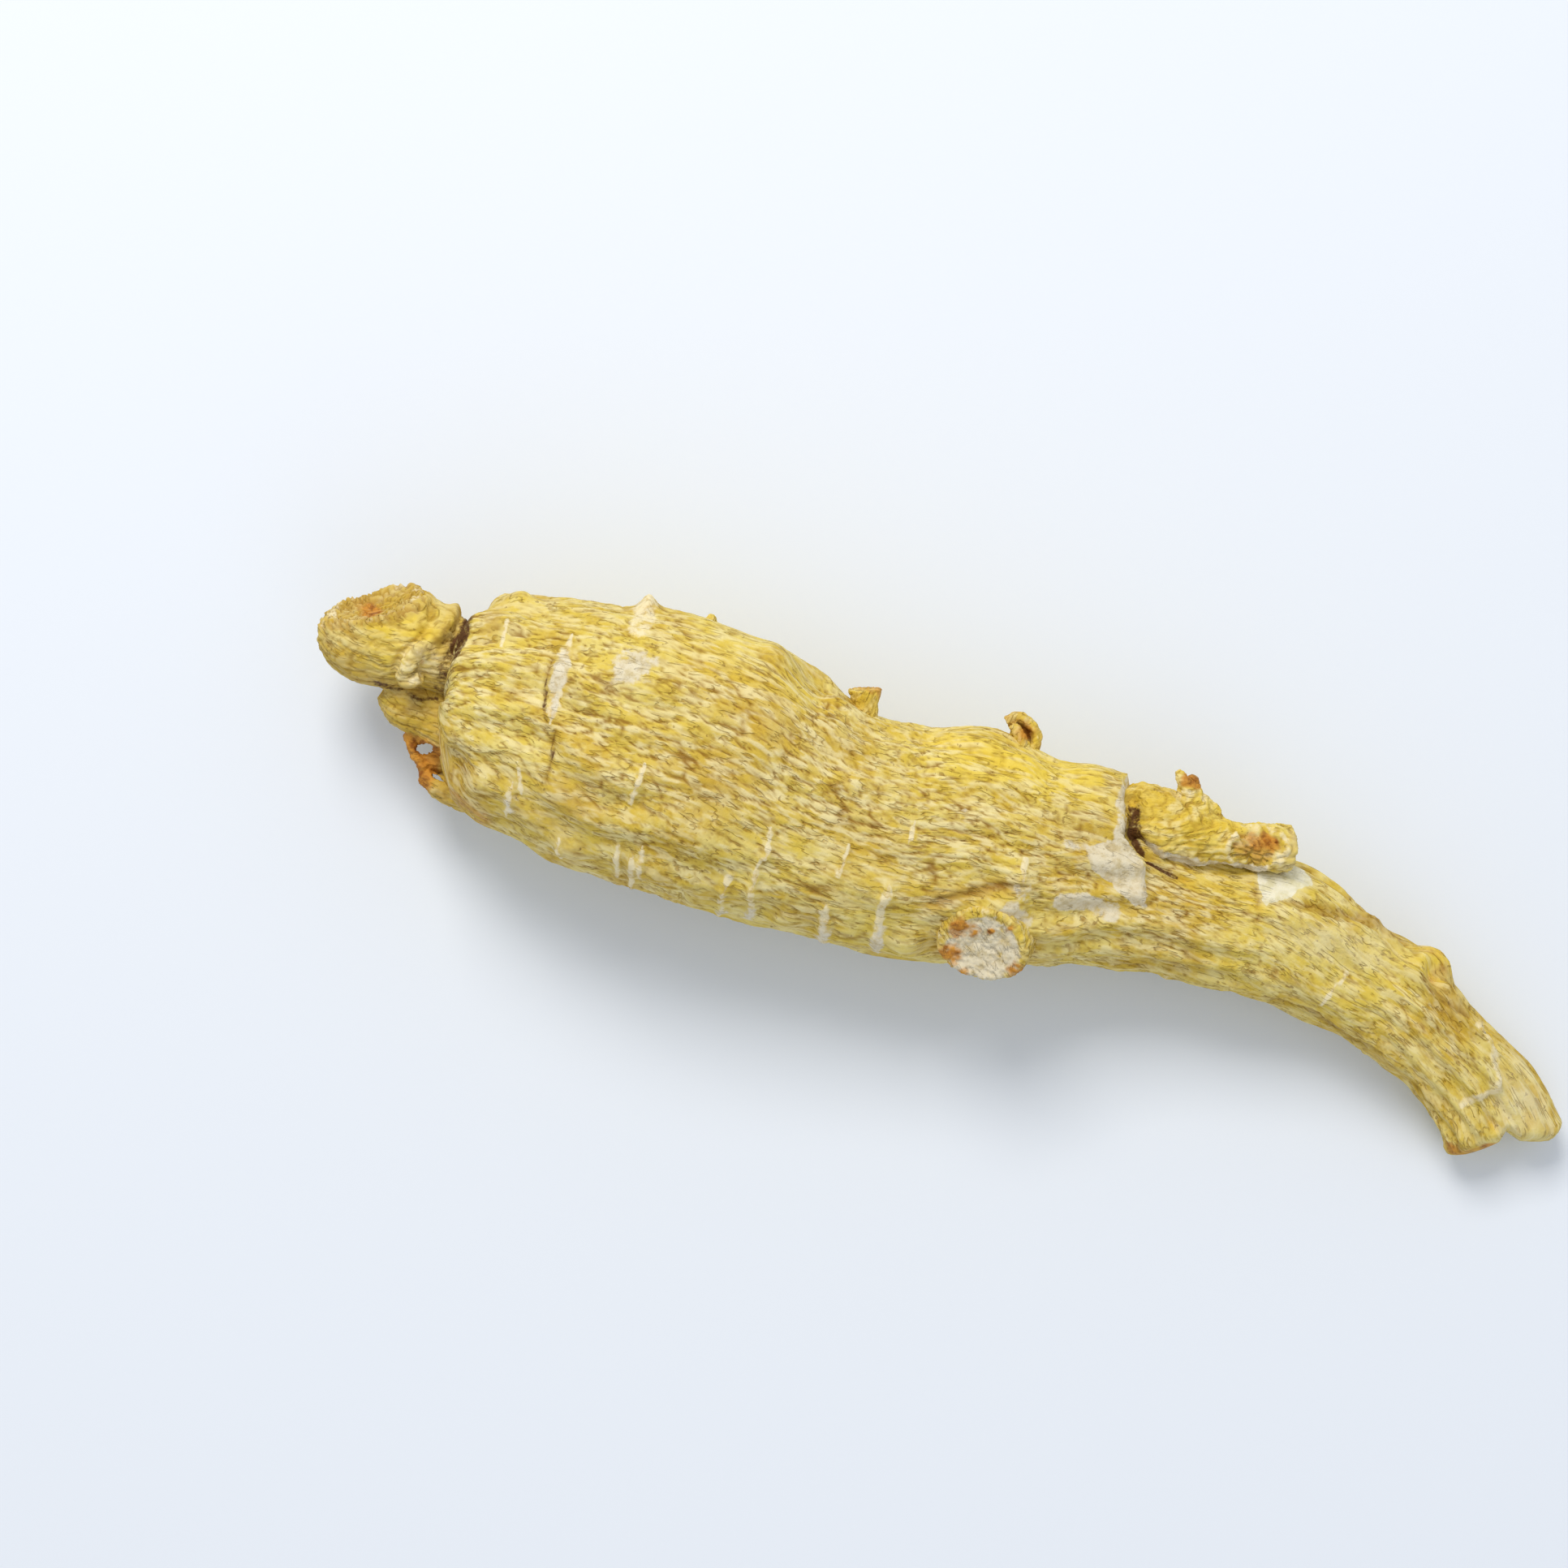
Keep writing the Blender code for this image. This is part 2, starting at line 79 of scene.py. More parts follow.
# The pale new bud curls round on itself.
NEW_BUD = (
    (9.9, 1.6, 10.8, 0.55, 0.6), (9.3, 2.0, 11.7, 0.55, 0.65), (8.2, 1.7, 12.3, 0.58, 0.65),
    (7.7, 0.9, 12.4, 0.6, 0.65), (7.4, 0.0, 12.2, 0.6, 0.65), (7.5, -0.7, 11.8, 0.55, 0.6),
    (8.2, -0.7, 11.8, 0.55, 0.6), (8.7, -0.1, 12.0, 0.5, 0.55),
)
OLD_BUD = (
    (13.6, -1.9, 7.2, 2.9, 3.0), (11.4, -2.4, 7.2, 2.9, 2.7), (9.5, -2.4, 7.3, 2.2, 2.4),
    (7.8, -2.3, 7.5, 1.8, 1.9), (6.2, -1.9, 7.7, 1.0, 1.2),
)
# Ring marks near the crown's neck, and the creases before them: points, half width, height.
CROWN_MARKS = (
    (((8.9, 5.6), (9.3, 4.4), (8.7, 2.9), (7.8, 1.6)), 0.42, 0.42),
    (((10.2, 5.0), (10.4, 3.4), (10.1, 1.9)), 0.35, 0.3),
    (((7.3, 5.2), (8.0, 3.7), (7.5, 2.2), (6.7, 0.9), (6.6, -0.3)), 0.26, -0.36),
    (((9.7, 5.4), (9.9, 3.6), (9.3, 2.4)), 0.26, -0.34),
    (((10.3, 5.8), (10.5, 4.4), (10.4, 3.0), (10.1, 2.0)), 0.4, -0.6),
)
# Two openings of the dried skin under the old bud: x, y, half length, half width, turn.
OPENINGS = ((10.55, -5.05, 0.8, 0.52, 25), (12.3, -6.75, 0.62, 0.2, -8))
OPENING_DEPTH, STRAND_HEIGHT = 6.0, 7.0
STRAND = (
    (9.9, -3.2, 7.3, 0.9, 1.0), (9.3, -4.6, 7.0, 0.45, 0.7), (10.5, -6.0, 6.7, 0.4, 0.7),
    (11.6, -7.0, 6.5, 0.6, 0.8), (13.2, -7.3, 6.4, 1.0, 1.3), (15.6, -6.8, 6.6, 1.6, 2.0),
)
WEB = (
    (13.6, -4.8, 6.2, 1.5, 1.8), (12.0, -5.5, 6.3, 0.8, 1.1), (10.5, -6.1, 6.6, 0.45, 0.55),
)
KNOB = (
    (54.9, 1.0, 7.0, 3.9, 3.4), (54.7, -1.0, 10.4, 3.8, 3.3), (54.5, -2.3, 12.6, 3.7, 3.1),
    (54.5, -2.7, 13.5, 3.5, 2.9), (54.5, -3.0, 14.1, 3.2, 2.7),
)
# Rusty spots on the knob's face: x, y, radius.
KNOB_SPOTS = (
    (52.4, -2.4, 1.0), (53.6, -2.3, 0.6), (54.7, -1.9, 0.4), (55.9, -1.2, 0.4), (52.6, -4.6, 1.1),
    (54.2, -5.9, 1.0), (57.5, -3.8, 0.8),
)
SIDE_ROOT = (
    (61.4, 8.6, 8.6, 3.5, 2.8), (63.9, 9.8, 9.4, 3.1, 2.9), (66.8, 10.2, 9.7, 2.1, 2.5),
    (69.4, 10.8, 9.6, 1.6, 2.1), (71.8, 11.5, 9.4, 1.7, 2.0), (73.4, 12.0, 9.2, 1.8, 1.9),
)
SPUR = (
    (66.3, 10.2, 9.6, 2.3, 1.6), (65.8, 11.6, 9.9, 1.7, 1.2), (65.0, 12.8, 10.1, 1.0, 0.8),
    (64.1, 13.6, 10.2, 0.55, 0.5), (63.4, 14.3, 10.2, 0.25, 0.3),
)
SPUR_SIDE = (
    (66.8, 10.8, 9.3, 2.1, 1.4), (66.3, 12.0, 9.6, 1.5, 0.9), (65.5, 13.0, 9.8, 0.8, 0.6),
    (65.0, 13.7, 9.9, 0.35, 0.35), (64.8, 14.2, 9.9, 0.2, 0.25),
)
# Broken rootlets on the upper edge: a torn hollow one, one of three curled strips of skin, a small point.
TORN_ROOTLET = (
    (
        (40.6, 8.2, 8.6, 1.5, 1.3), (40.4, 9.6, 8.9, 0.85, 0.9), (40.0, 10.4, 9.1, 0.95, 0.9),
        (39.6, 11.3, 9.3, 1.3, 1.0),
    ),
)
CURLED_ROOTLET = (
    (
        (52.4, 10.2, 8.2, 0.9, 1.0), (52.9, 11.9, 8.7, 0.45, 0.9), (52.75, 12.8, 8.9, 0.42, 0.9),
        (51.9, 13.5, 9.1, 0.42, 0.85), (50.9, 13.6, 9.1, 0.42, 0.75), (50.3, 13.0, 9.1, 0.38, 0.6),
    ),
    (
        (52.9, 10.6, 9.2, 0.6, 0.7), (52.3, 11.6, 9.6, 0.45, 0.6), (51.6, 12.3, 9.7, 0.42, 0.6),
        (50.8, 12.9, 9.6, 0.35, 0.5),
    ),
    (
        (52.0, 10.4, 7.8, 1.1, 0.7), (51.9, 12.0, 8.1, 1.0, 0.5), (51.6, 12.9, 8.3, 0.9, 0.45),
        (51.3, 13.4, 8.4, 0.6, 0.4),
    ),
)
POINTED_ROOTLET = (
    ((27.1, 9.8, 8.8, 1.6, 1.3), (27.05, 11.3, 9.1, 0.75, 0.8), (27.0, 12.2, 9.3, 0.3, 0.35)),
)

# Low round forms: x, y seen from above, half length, half width, height.
FACE_BUMPS = (
    (55.0, 1.2, 1.6, 2.6, 0.8), (22.4, 10.7, 1.0, 1.4, 0.8), (13.2, 7.6, 0.8, 1.4, 0.5),
    (32.6, 10.9, 1.2, 2.4, 0.5), (36.2, 10.3, 2.3, 3.2, -1.0), (44.6, -5.8, 1.3, 1.6, 0.5),
    (49.4, -4.8, 1.2, 1.8, 0.6), (40.4, -6.4, 1.1, 1.5, 0.5), (33.5, -7.4, 1.3, 1.4, 0.4),
    (23.5, -7.6, 1.2, 1.6, 0.5), (87.2, 8.0, 1.5, 1.6, 1.1), (87.4, 7.3, 0.9, 0.8, -1.2),
    (43.6, 10.0, 0.5, 0.6, 0.6), (49.2, 11.2, 2.2, 2.0, 0.55), (58.8, 11.6, 2.2, 2.6, 0.75),
    (81.4, 8.8, 1.5, 1.3, 0.5), (84.4, 7.9, 1.2, 1.3, -0.6), (88.9, -1.0, 1.6, 1.4, -0.5),
    (13.8, -5.2, 1.6, 2.0, -1.2),
)
BACK_BUMPS = (
    (23.0, 1.6, 2.4, 2.6, 0.6), (31.0, -3.4, 1.8, 2.2, 0.8), (42.5, 3.4, 2.2, 2.4, 0.7),
    (63.0, 2.2, 1.4, 1.8, 0.6), (78.0, 7.4, 1.2, 1.4, 0.5),
)
# Ring marks of the underside: distance along, from and to angle, height.
BACK_RINGS = (
    (12.1, -60, 0, 0.25), (16.0, 200, 260, 0.3), (24.2, 200, 250, 0.3), (33.2, 200, 250, 0.3),
    (50.0, 220, 330, 0.3), (58.5, 200, 300, 0.25), (77.0, 200, 340, 0.25),
)
# Lines that are both a form and a colour.
TAIL_RING = ((92.1, 5.1), (93.7, 3.6), (94.8, 2.0), (95.1, 1.1), (93.1, -0.8))
TAIL_MARK = ((80.9, 5.1), (79.9, 1.9))
SCAR_CRACK = ((19.7, 0.0), (20.2, -2.0), (20.6, -4.1))
KNOB_CREASE = ((49.6, -1.6), (52.3, 0.3), (54.2, 1.6), (55.8, 2.3))
TAIL_CREASE = ((76.0, 1.3), (79.4, 1.3), (83.2, 0.5), (86.0, 0.5))
# Ring marks and other raised lines seen from above: points, half width, height.
RINGS = (
    (((26.7, 0.2), (26.8, -1.9), (26.7, -3.3)), 0.26, 0.3),
    (((28.2, -6.0), (28.9, -8.7)), 0.3, 0.32),
    (((26.9, -5.7), (27.7, -8.5)), 0.28, 0.28),
    (((28.7, -5.4), (29.4, -7.8)), 0.3, 0.3),
    (((35.4, -4.4), (35.5, -6.8), (35.8, -8.3)), 0.32, 0.34),
    (((36.7, -0.4), (37.4, -2.5), (37.0, -3.5)), 0.24, 0.26),
    (((37.1, -3.4), (37.3, -5.3), (38.0, -7.5)), 0.34, 0.34),
    (((42.7, 0.4), (42.7, -1.8), (42.7, -2.5)), 0.24, 0.24),
    (((42.7, -4.2), (43.3, -6.1), (43.8, -7.4)), 0.5, 0.38),
    (((46.5, -1.0), (46.5, -3.0), (47.5, -6.3)), 0.46, 0.38),
    (((46.5, 3.5), (46.7, 1.8)), 0.22, 0.22),
    (((55.0, 4.3), (55.5, 2.1)), 0.26, 0.28),
    (((22.6, -6.8), (23.4, -8.5)), 0.26, 0.26),
    (((18.0, -3.1), (19.0, -5.1)), 0.22, 0.18),
    (((18.1, -4.5), (18.5, -7.0)), 0.3, 0.22),
    (((22.2, 11.0), (22.4, 10.0)), 0.3, 0.28),
    (((13.3, 5.7), (13.6, 4.1)), 0.25, 0.2),
    (((18.2, 6.4), (18.5, 3.6), (19.2, 0.3)), 0.55, 0.22),
    (TAIL_MARK, 0.2, 0.14),
    (TAIL_RING, 0.26, 0.34),
)
# Raised forms with no colour of their own.
RIDGES = (
    (((73.5, 6.9), (76.8, 7.3), (80.2, 7.5), (83.9, 7.5), (85.9, 6.6)), 0.9, 0.42),
    (((50.2, -2.0), (52.4, -0.7), (55.0, 0.6), (55.9, 0.9)), 0.55, 0.35),
    (((20.0, 4.6), (30.0, 5.2), (40.0, 3.4), (52.0, 4.6)), 1.3, 0.28),
    (((21.0, -1.6), (32.0, -2.6), (41.0, -2.4), (48.0, -1.8)), 1.2, 0.25),
)
# Cracks and creases seen from above: points, half width, depth.
CREASES = (
    (SCAR_CRACK, 0.16, 0.3),
    (((17.6, 5.0), (17.7, 3.4), (18.5, 0.8), (19.2, 0.0)), 0.16, 0.35),
    (KNOB_CREASE, 0.28, 0.26),
    (TAIL_CREASE, 0.24, 0.28),
    (((71.7, 9.3), (72.6, 7.4), (73.3, 5.4)), 0.16, 0.26),
    (((73.8, 8.2), (76.8, 8.6), (80.2, 8.8), (83.9, 8.8), (85.4, 8.0)), 0.4, 0.26),
    (((86.0, 6.6), (88.6, 5.6), (91.0, 5.2)), 0.3, 0.22),
)
# The torn edge of the body's skin, seen from above, from low to high, its height and its raised lip's.
SKIN_EDGE = (
    (64.9, 2.6), (64.7, 3.7), (63.6, 7.1), (62.4, 7.7), (61.3, 8.2), (61.3, 9.6), (60.4, 10.6),
    (60.6, 12.6),
)
STEP_HEIGHT, LIP_HEIGHT = 1.1, 0.22

# The body's skin: short creases and long folds round it, and how high folds, lumps and puffs stand.
CREASE_COUNT, FOLD_COUNT = 84, 16
FOLD_HEIGHT, LUMP_HEIGHT, PUFF_HEIGHT = 0.27, 0.32, 0.34
PEELED_DEPTH = 0.5
# The power of the rounded-square section, where 2 gives a circle.
SQUARENESS = 2.25

# The gap between the torn edge of the skin and the side root: its line, half width from first to last,
# and its depth in the body and in the side root.
GAP = ((61.2, 10.8), (61.8, 9.7), (61.8, 8.7), (63.0, 7.9), (65.3, 7.3), (66.9, 7.2))
GAP_HALF_WIDTHS = (0.62, 0.27)
BODY_GAP_DEPTH, SIDE_GAP_DEPTH = 1.2, 1.3
# The side root's broken face and its rim: middle x, y, half length, half width, turn.
BROKEN_FACE = (70.9, 11.1, 2.1, 1.25, 21.8)
BROKEN_RIM = (70.9, 11.1, 2.7, 1.75, 21.8)
KNOB_FACE_AT, KNOB_FACE_RADIUS = (54.7, -3.2), 2.95

# What colours it, seen from above, by kinds

# Crisp areas: corners, strength.
AREAS = {
    "cork": (
        (
            (
                (60.3, 7.6), (62.0, 7.9), (63.7, 6.6), (64.9, 3.9),
                (63.9, 3.7), (61.7, 4.6), (59.8, 5.2), (58.9, 6.3),
            ),
            0.95,
        ),
        (((55.1, 1.5), (55.7, 1.2), (56.9, 0.0), (55.6, -0.9), (52.8, -1.5), (54.3, -0.2)), 0.75),
    ),
    "bare": (
        # the bare patch past the side root, whose tone is painted lighter against the side root's shadow
        (((71.6, 9.7), (73.0, 11.4), (74.6, 11.5), (76.3, 10.4), (75.2, 9.3), (74.0, 8.1), (73.2, 7.4)), 1.0),
    ),
    "peeled": (
        (
            (
                (91.6, 6.2), (93.6, 3.4), (95.0, 1.8), (95.0, 0.9), (93.6, -0.2),
                (95.8, -1.9), (99.9, -2.6), (99.9, 2.0), (94.5, 6.4),
            ),
            1.0,
        ),
    ),
}

# Lines: points, half width, strength.
LINES = {
    "dirt": (
        (((61.5, 10.2), (61.9, 9.4), (62.1, 8.7), (63.0, 7.9)), 0.44, 1.0),
        (((62.7, 8.0), (63.6, 7.7), (64.8, 7.4), (66.2, 7.2)), 0.18, 0.9), (SCAR_CRACK, 0.18, 0.75),
        (((17.6, 4.4), (17.7, 3.2), (18.5, 0.8), (19.3, -0.4)), 0.16, 0.7), (TAIL_CREASE, 0.22, 0.4),
        (((72.3, 8.2), (72.7, 7.3), (73.3, 5.4)), 0.18, 0.62),
        (((10.3, 5.6), (10.6, 4.2), (10.5, 2.8)), 0.48, 0.95),
        (((10.4, 2.8), (10.3, 1.2), (10.2, -0.6)), 0.6, 0.62),
        (((9.7, 3.0), (9.7, 1.1), (9.4, -0.6)), 0.8, 0.5),
        (((10.3, -1.4), (11.3, -3.2), (12.3, -4.4)), 0.45, 0.45),
        (((11.8, 7.2), (12.4, 8.0), (13.2, 8.4)), 0.25, 0.55),
    ),
    "stain_and_shade": (
        # painted shade: the broad crease before the knob, darkened in the stain's ochre
        (KNOB_CREASE, 0.5, 1.0),
    ),
    "cork": (
        (((60.9, 11.7), (60.4, 10.6), (61.0, 9.6), (61.0, 8.2), (62.2, 7.5)), 0.5, 0.62),
        (((58.8, 2.1), (60.6, 2.7), (62.6, 2.8)), 0.55, 0.72), (((55.7, 2.0), (56.7, 0.1)), 0.6, 0.45),
    ),
    "pale": (
        (TAIL_RING, 0.32, 0.75), (TAIL_MARK, 0.25, 0.5),
        (((21.7, 11.2), (22.5, 9.9), (22.6, 9.0)), 0.7, 0.8),
    ),
    "rust": (
        (((93.3, -4.2), (94.8, -4.6), (96.2, -3.6)), 0.4, 0.55),
        (((85.6, 8.6), (87.4, 8.4), (88.0, 7.4), (86.9, 7.1)), 0.5, 0.34),
        (((39.3, 10.4), (40.5, 10.6)), 0.6, 0.38),
        (((12.4, -7.2), (14.2, -7.8), (16.8, -8.2)), 0.8, 0.42),
    ),
}
# Soft oval patches: middle x, y, half length, half width, turn, strength.
PATCHES = {
    "cork": (
        (23.2, 6.0, 2.1, 1.5, 20, 0.8), (18.5, 3.9, 0.75, 2.0, 8, 1.0), (19.0, 1.6, 0.35, 1.6, 12, 0.85),
        (24.5, 7.0, 0.6, 0.9, 0, 0.65), (58.3, 6.3, 1.6, 0.7, 0, 0.62), (18.4, -5.8, 1.1, 1.2, 0, 0.45),
        (43.4, -6.6, 0.9, 1.6, 0, 0.7), (47.3, -5.4, 0.7, 1.8, 10, 0.75), (35.7, -7.9, 0.8, 0.8, 0, 0.6),
        (37.8, -7.2, 0.7, 0.9, 0, 0.6), (49.6, 5.5, 0.35, 0.3, 0, 0.7),
    ),
    "bare": (
        (79.0, 6.6, 5.0, 1.3, 4, 0.52), (96.9, 0.8, 3.4, 2.2, -50, 0.54),
        (86.0, -1.5, 3.0, 1.5, -20, 0.35),
    ),
    "stain_and_shade": (
        (34.8, 6.1, 9.0, 3.0, -6, 0.55), (31.6, 0.9, 8.0, 3.2, -4, 0.75),
        (22.1, -4.0, 3.0, 1.6, -10, 0.95), (46.0, 1.0, 6.0, 3.0, 0, 0.45), (58.0, 5.5, 3.5, 4.0, 0, 0.35),
        (66.5, 4.6, 4.5, 2.4, 0, 0.65), (81.0, 9.6, 0.9, 0.9, 0, 0.8), (88.6, 5.6, 2.2, 1.3, -30, 1.0),
        (13.6, -5.4, 2.2, 2.2, -30, 0.9), (95.0, -4.0, 1.4, 1.0, 30, 0.7), (28.3, -8.6, 1.2, 0.7, 0, 1.0),
        (15.5, -6.9, 4.0, 1.5, -15, 0.8), (20.0, -5.8, 4.0, 1.8, -20, 0.65),
        (12.2, 5.4, 1.1, 2.0, 0, 0.9),
    ),
    "dirt": (
        (79.5, 9.3, 3.0, 0.9, 4, 0.36), (88.8, 5.3, 1.9, 0.9, -30, 0.45), (12.2, -5.0, 1.0, 1.1, 0, 0.62),
        (9.9, 3.0, 0.7, 1.6, 0, 0.52), (10.0, 0.5, 0.8, 1.0, 0, 0.6),
    ),
    "lemon": (
        (51.8, 9.7, 8.5, 2.2, 8, 0.72), (31.0, 9.0, 8.0, 1.6, -4, 0.35), (79.0, 6.4, 6.0, 1.6, 4, 0.2),
        (70.0, 8.6, 5.0, 3.0, 0, 0.4), (87.2, 7.9, 1.6, 1.2, 0, 0.7),
    ),
}

# Every kind that is noted on the pieces and read by the material.
KINDS = ("crease_ochre_and_shade", "cork", "puff", "pale", "rust", "dirt", "stain_and_shade", "bare", "lemon")

# Noise and measuring


def scatter(i, j, k, seed):
    """A repeatable random number from 0 to 1 for each whole-number place."""
    mask = np.uint64(0xFFFFFFFF)
    h = i.astype(np.uint64) * np.uint64(0x8DA6B343) ^ j.astype(np.uint64) * np.uint64(0xD8163841)
    h = (h ^ k.astype(np.uint64) * np.uint64(0xCB1AB31F) ^ np.uint64(seed * 0x9E3779B1)) & mask
    for factor in (0x85EBCA6B, 0xC2B2AE35):
        h = ((h ^ (h >> np.uint64(15))) * np.uint64(factor)) & mask
    return ((h ^ (h >> np.uint64(16))) & np.uint64(0xFFFFFF)).astype(float) / 0xFFFFFF


def grain(x, y, z, seed):
    """Smooth random waves from about -1 to 1, over places measured in the waves' own spacing.

    The cells' numbers start 4096 below zero, so that every one is positive.
    """
    places = [np.asarray(v, float) for v in np.broadcast_arrays(x, y, z)]
    cells = [np.floor(v) for v in places]
    parts = [v - c for v, c in zip(places, cells)]
    eased = [t * t * t * (t * (t * 6 - 15) + 10) for t in parts]
    total = np.zeros(places[0].shape)
    for i in (0, 1):
        for j in (0, 1):
            for k in (0, 1):
                at = [c.astype(np.int64) + o + 4096 for c, o in zip(cells, (i, j, k))]
                turn = scatter(*at, seed) * 2 * math.pi
                lift = scatter(*at, seed + 77) * 2 - 1
                flat = np.sqrt(1 - lift * lift)
                slope = (
                    np.cos(turn) * flat * (parts[0] - i)
                    + np.sin(turn) * flat * (parts[1] - j)
                    + lift * (parts[2] - k)
                )
                weight = 1.0
                for t, o in zip(eased, (i, j, k)):
                    weight = weight * (t if o else 1 - t)
                total += slope * weight
    return total * 1.6


def smooth(knots, table, at):
    """The rows of the table read at these distances, on one smooth curve through all of them."""
    table = np.asarray(table, float)
    slope = np.gradient(table, knots, axis=0)
    i = np.clip(np.searchsorted(knots, at, side="right") - 1, 0, len(knots) - 2)
    span = (knots[i + 1] - knots[i])[..., None]
    t = (np.asarray(at)[..., None] - knots[i][..., None]) / span
    return (
        (2 * t**3 - 3 * t**2 + 1) * table[i]
        + (t**3 - 2 * t**2 + t) * span * slope[i]
        + (3 * t**2 - 2 * t**3) * table[i + 1]
        + (t**3 - t**2) * span * slope[i + 1]
    )


def distances(points):
    """Running length along a list of points."""
    steps = np.linalg.norm(np.diff(np.asarray(points, float), axis=0), axis=1)
    return np.concatenate([[0.0], np.cumsum(steps)])


def off_line(x, y, points):
    """Distance of each place from a line through these points, and how far along it the nearest one is."""
    best, share = np.full(x.shape, 1e9), np.zeros(x.shape)
    run = distances(points)
    for (ax, ay), (bx, by), start in zip(points, points[1:], run):
        wx, wy = bx - ax, by - ay
        long = math.hypot(wx, wy)
        t = np.clip(((x - ax) * wx + (y - ay) * wy) / long**2, 0, 1)
        d = np.hypot(x - ax - t * wx, y - ay - t * wy)
        nearer = d < best
        best = np.where(nearer, d, best)
        share = np.where(nearer, (start + t * long) / run[-1], share)
    return best, share


def soft(v):
    """Eases 0 to 1 in and out."""
    v = np.clip(v, 0, 1)
    return v * v * (3 - 2 * v)


def bell(off, half):
    """1 in the middle, falling to about a third at the half width."""
    return np.exp(-((off / half) ** 2))


def waves(places, size, seed):
    """The grain at a table of places, with waves of this size in mm."""
    return grain(*(places / size).T, seed)


def turned(angle, middle):
    """How far an angle is from another, the short way round."""
    return (angle - middle + math.pi) % (2 * math.pi) - math.pi


# The body

LENGTH = distances(np.array(BODY)[:, :2])[-1]


def body_rows(along):
    """The body table's columns at these distances along it."""
    table = np.array(BODY)
    return smooth(distances(table[:, :2]), table, along)


def across(along):
    """The direction level across the body, towards the upper edge seen from above."""
    way = body_rows(along + 0.4)[..., :2] - body_rows(along - 0.4)[..., :2]
    way /= np.linalg.norm(way, axis=-1, keepdims=True)
    return np.stack([-way[..., 1], way[..., 0]], axis=-1)


def locate(x, y, underside=False):
    """The distance along the body and the angle round it of a place seen from above."""
    along = np.linspace(0, LENGTH, 400)
    rows = body_rows(along)
    nearest = int(np.argmin(np.hypot(rows[:, 0] - x, rows[:, 1] - y)))
    side = across(along)[nearest]
    share = (x - rows[nearest, 0]) * side[0] + (y - rows[nearest, 1]) * side[1]
    angle = math.acos(max(-0.98, min(0.98, share / rows[nearest, 2])))
    return along[nearest], -angle if underside else angle


def torn_step(x, y, angle):
    """The drop past the torn edge of the body's skin, on the upper face only."""
    edge = np.array(SKIN_EDGE)
    at = np.interp(y, edge[:, 1], edge[:, 0]) + 0.25 * grain(y / 0.5, x * 0, y * 0, 31)
    height = STEP_HEIGHT * np.interp(y, (1.5, 3.7, 7.0), (0.0, 0.45, 1.0))
    past = soft((x - at) / 0.5 + 0.5)
    recovered = 1 / (1 + np.exp(-(x - 75.0) / 1.6))
    reach = np.clip(1.6 - np.abs(turned(angle, math.radians(35))) / math.radians(55), 0, 1)
    lip = LIP_HEIGHT * bell(at - 0.35 - x, 0.35) * np.interp(y, (2, 5), (0, 1))
    return (lip - height * past * (1 - recovered)) * reach


def folds(along, angle):
    """Long wavy ribs that fade in and out."""
    wander = 0.7 * np.sin(0.21 * along + 1.0) + 0.35 * np.sin(0.53 * along + 2.1 * angle)
    ribs = np.sin(FOLD_COUNT * (angle + 0.16 * wander) + 0.5 * np.sin(0.34 * along))
    fade = 0.55 + 0.45 * np.sin(0.17 * along + 2.0 * np.cos(angle))
    return FOLD_HEIGHT * fade * ribs


def pattern_place(along, angle, width):
    """Where on an even tube of skin a place of the body lies, in mm, so that the wrinkles keep their size."""
    girth = 3.0 + 0.65 * width
    return along, girth * np.cos(angle), girth * np.sin(angle)


def wrinkles(angle, u, v, w, width):
    """Puffs drawn out lengthwise between short wavy creases: height from 0 to 1, and how deep in a crease."""
    sway = 1.7 * grain(u / 2.1, v / 1.9, w / 1.9, 3) + 1.0 * grain(u / 0.8, v / 0.9, w / 0.9, 4)
    row = np.abs(np.sin(0.5 * CREASE_COUNT * angle + sway))
    bend = 0.30 * grain(u / 2.0, v / 1.7, w / 1.7, 5) + 0.12 * grain(u / 0.7, v / 0.6, w / 0.6, 6)
    coarse = np.abs(grain(u / 3.4, (v + bend) / 1.1, (w + bend) / 1.1, 7))
    net = np.abs(grain(u / 1.6, (v + bend) / 0.68, (w + bend) / 0.68, 8))
    here = np.clip(0.60 + 1.0 * grain(u / 2.0, v / 1.0, w / 1.0, 9), 0.0, 1.2)
    here = here * np.clip((width - 3.5) / 4.5, 0.1, 1)
    here_coarse = np.clip(0.60 + 0.9 * grain(u / 3.0, v / 2.0, w / 2.0, 10), 0.1, 1.2)
    dent = 0.34 * here * (1 - row) ** 1.4 + 0.36 * here_coarse * (1 - np.clip(coarse / 0.30, 0, 1) ** 0.65)
    dent = dent + 0.34 * (1.2 - 0.6 * here) * (1 - np.clip(net / 0.32, 0, 1) ** 0.7)
    deep = 0.8 * here * bell(row, 0.18) + 0.9 * here_coarse * bell(coarse, 0.046)
    deep = deep + 0.55 * (1.2 - 0.6 * here) * bell(net, 0.058)
    return np.clip(1 - dent, 0, 1), np.clip(deep, 0, 1)


def seen_lines(x, y, table, seed):
    """The raised or sunk lines seen from above: height, and how much of each place they cover."""
    height, cover = np.zeros(x.shape), np.zeros(x.shape)
    ragged = grain(x / 0.5, y / 0.5, x * 0, seed)
    for points, half, high in table:
        d, share = off_line(x, y, points)
        half = half * (1 + 0.45 * ragged)
        end = np.clip(np.minimum(share, 1 - share) * 8, 0.35, 1)
        on = soft(1.35 - d / (half * end + 1e-6))
        height = np.maximum(height, high * on * (0.8 + 0.5 * ragged))
        cover = np.maximum(cover, on)
    return height, cover


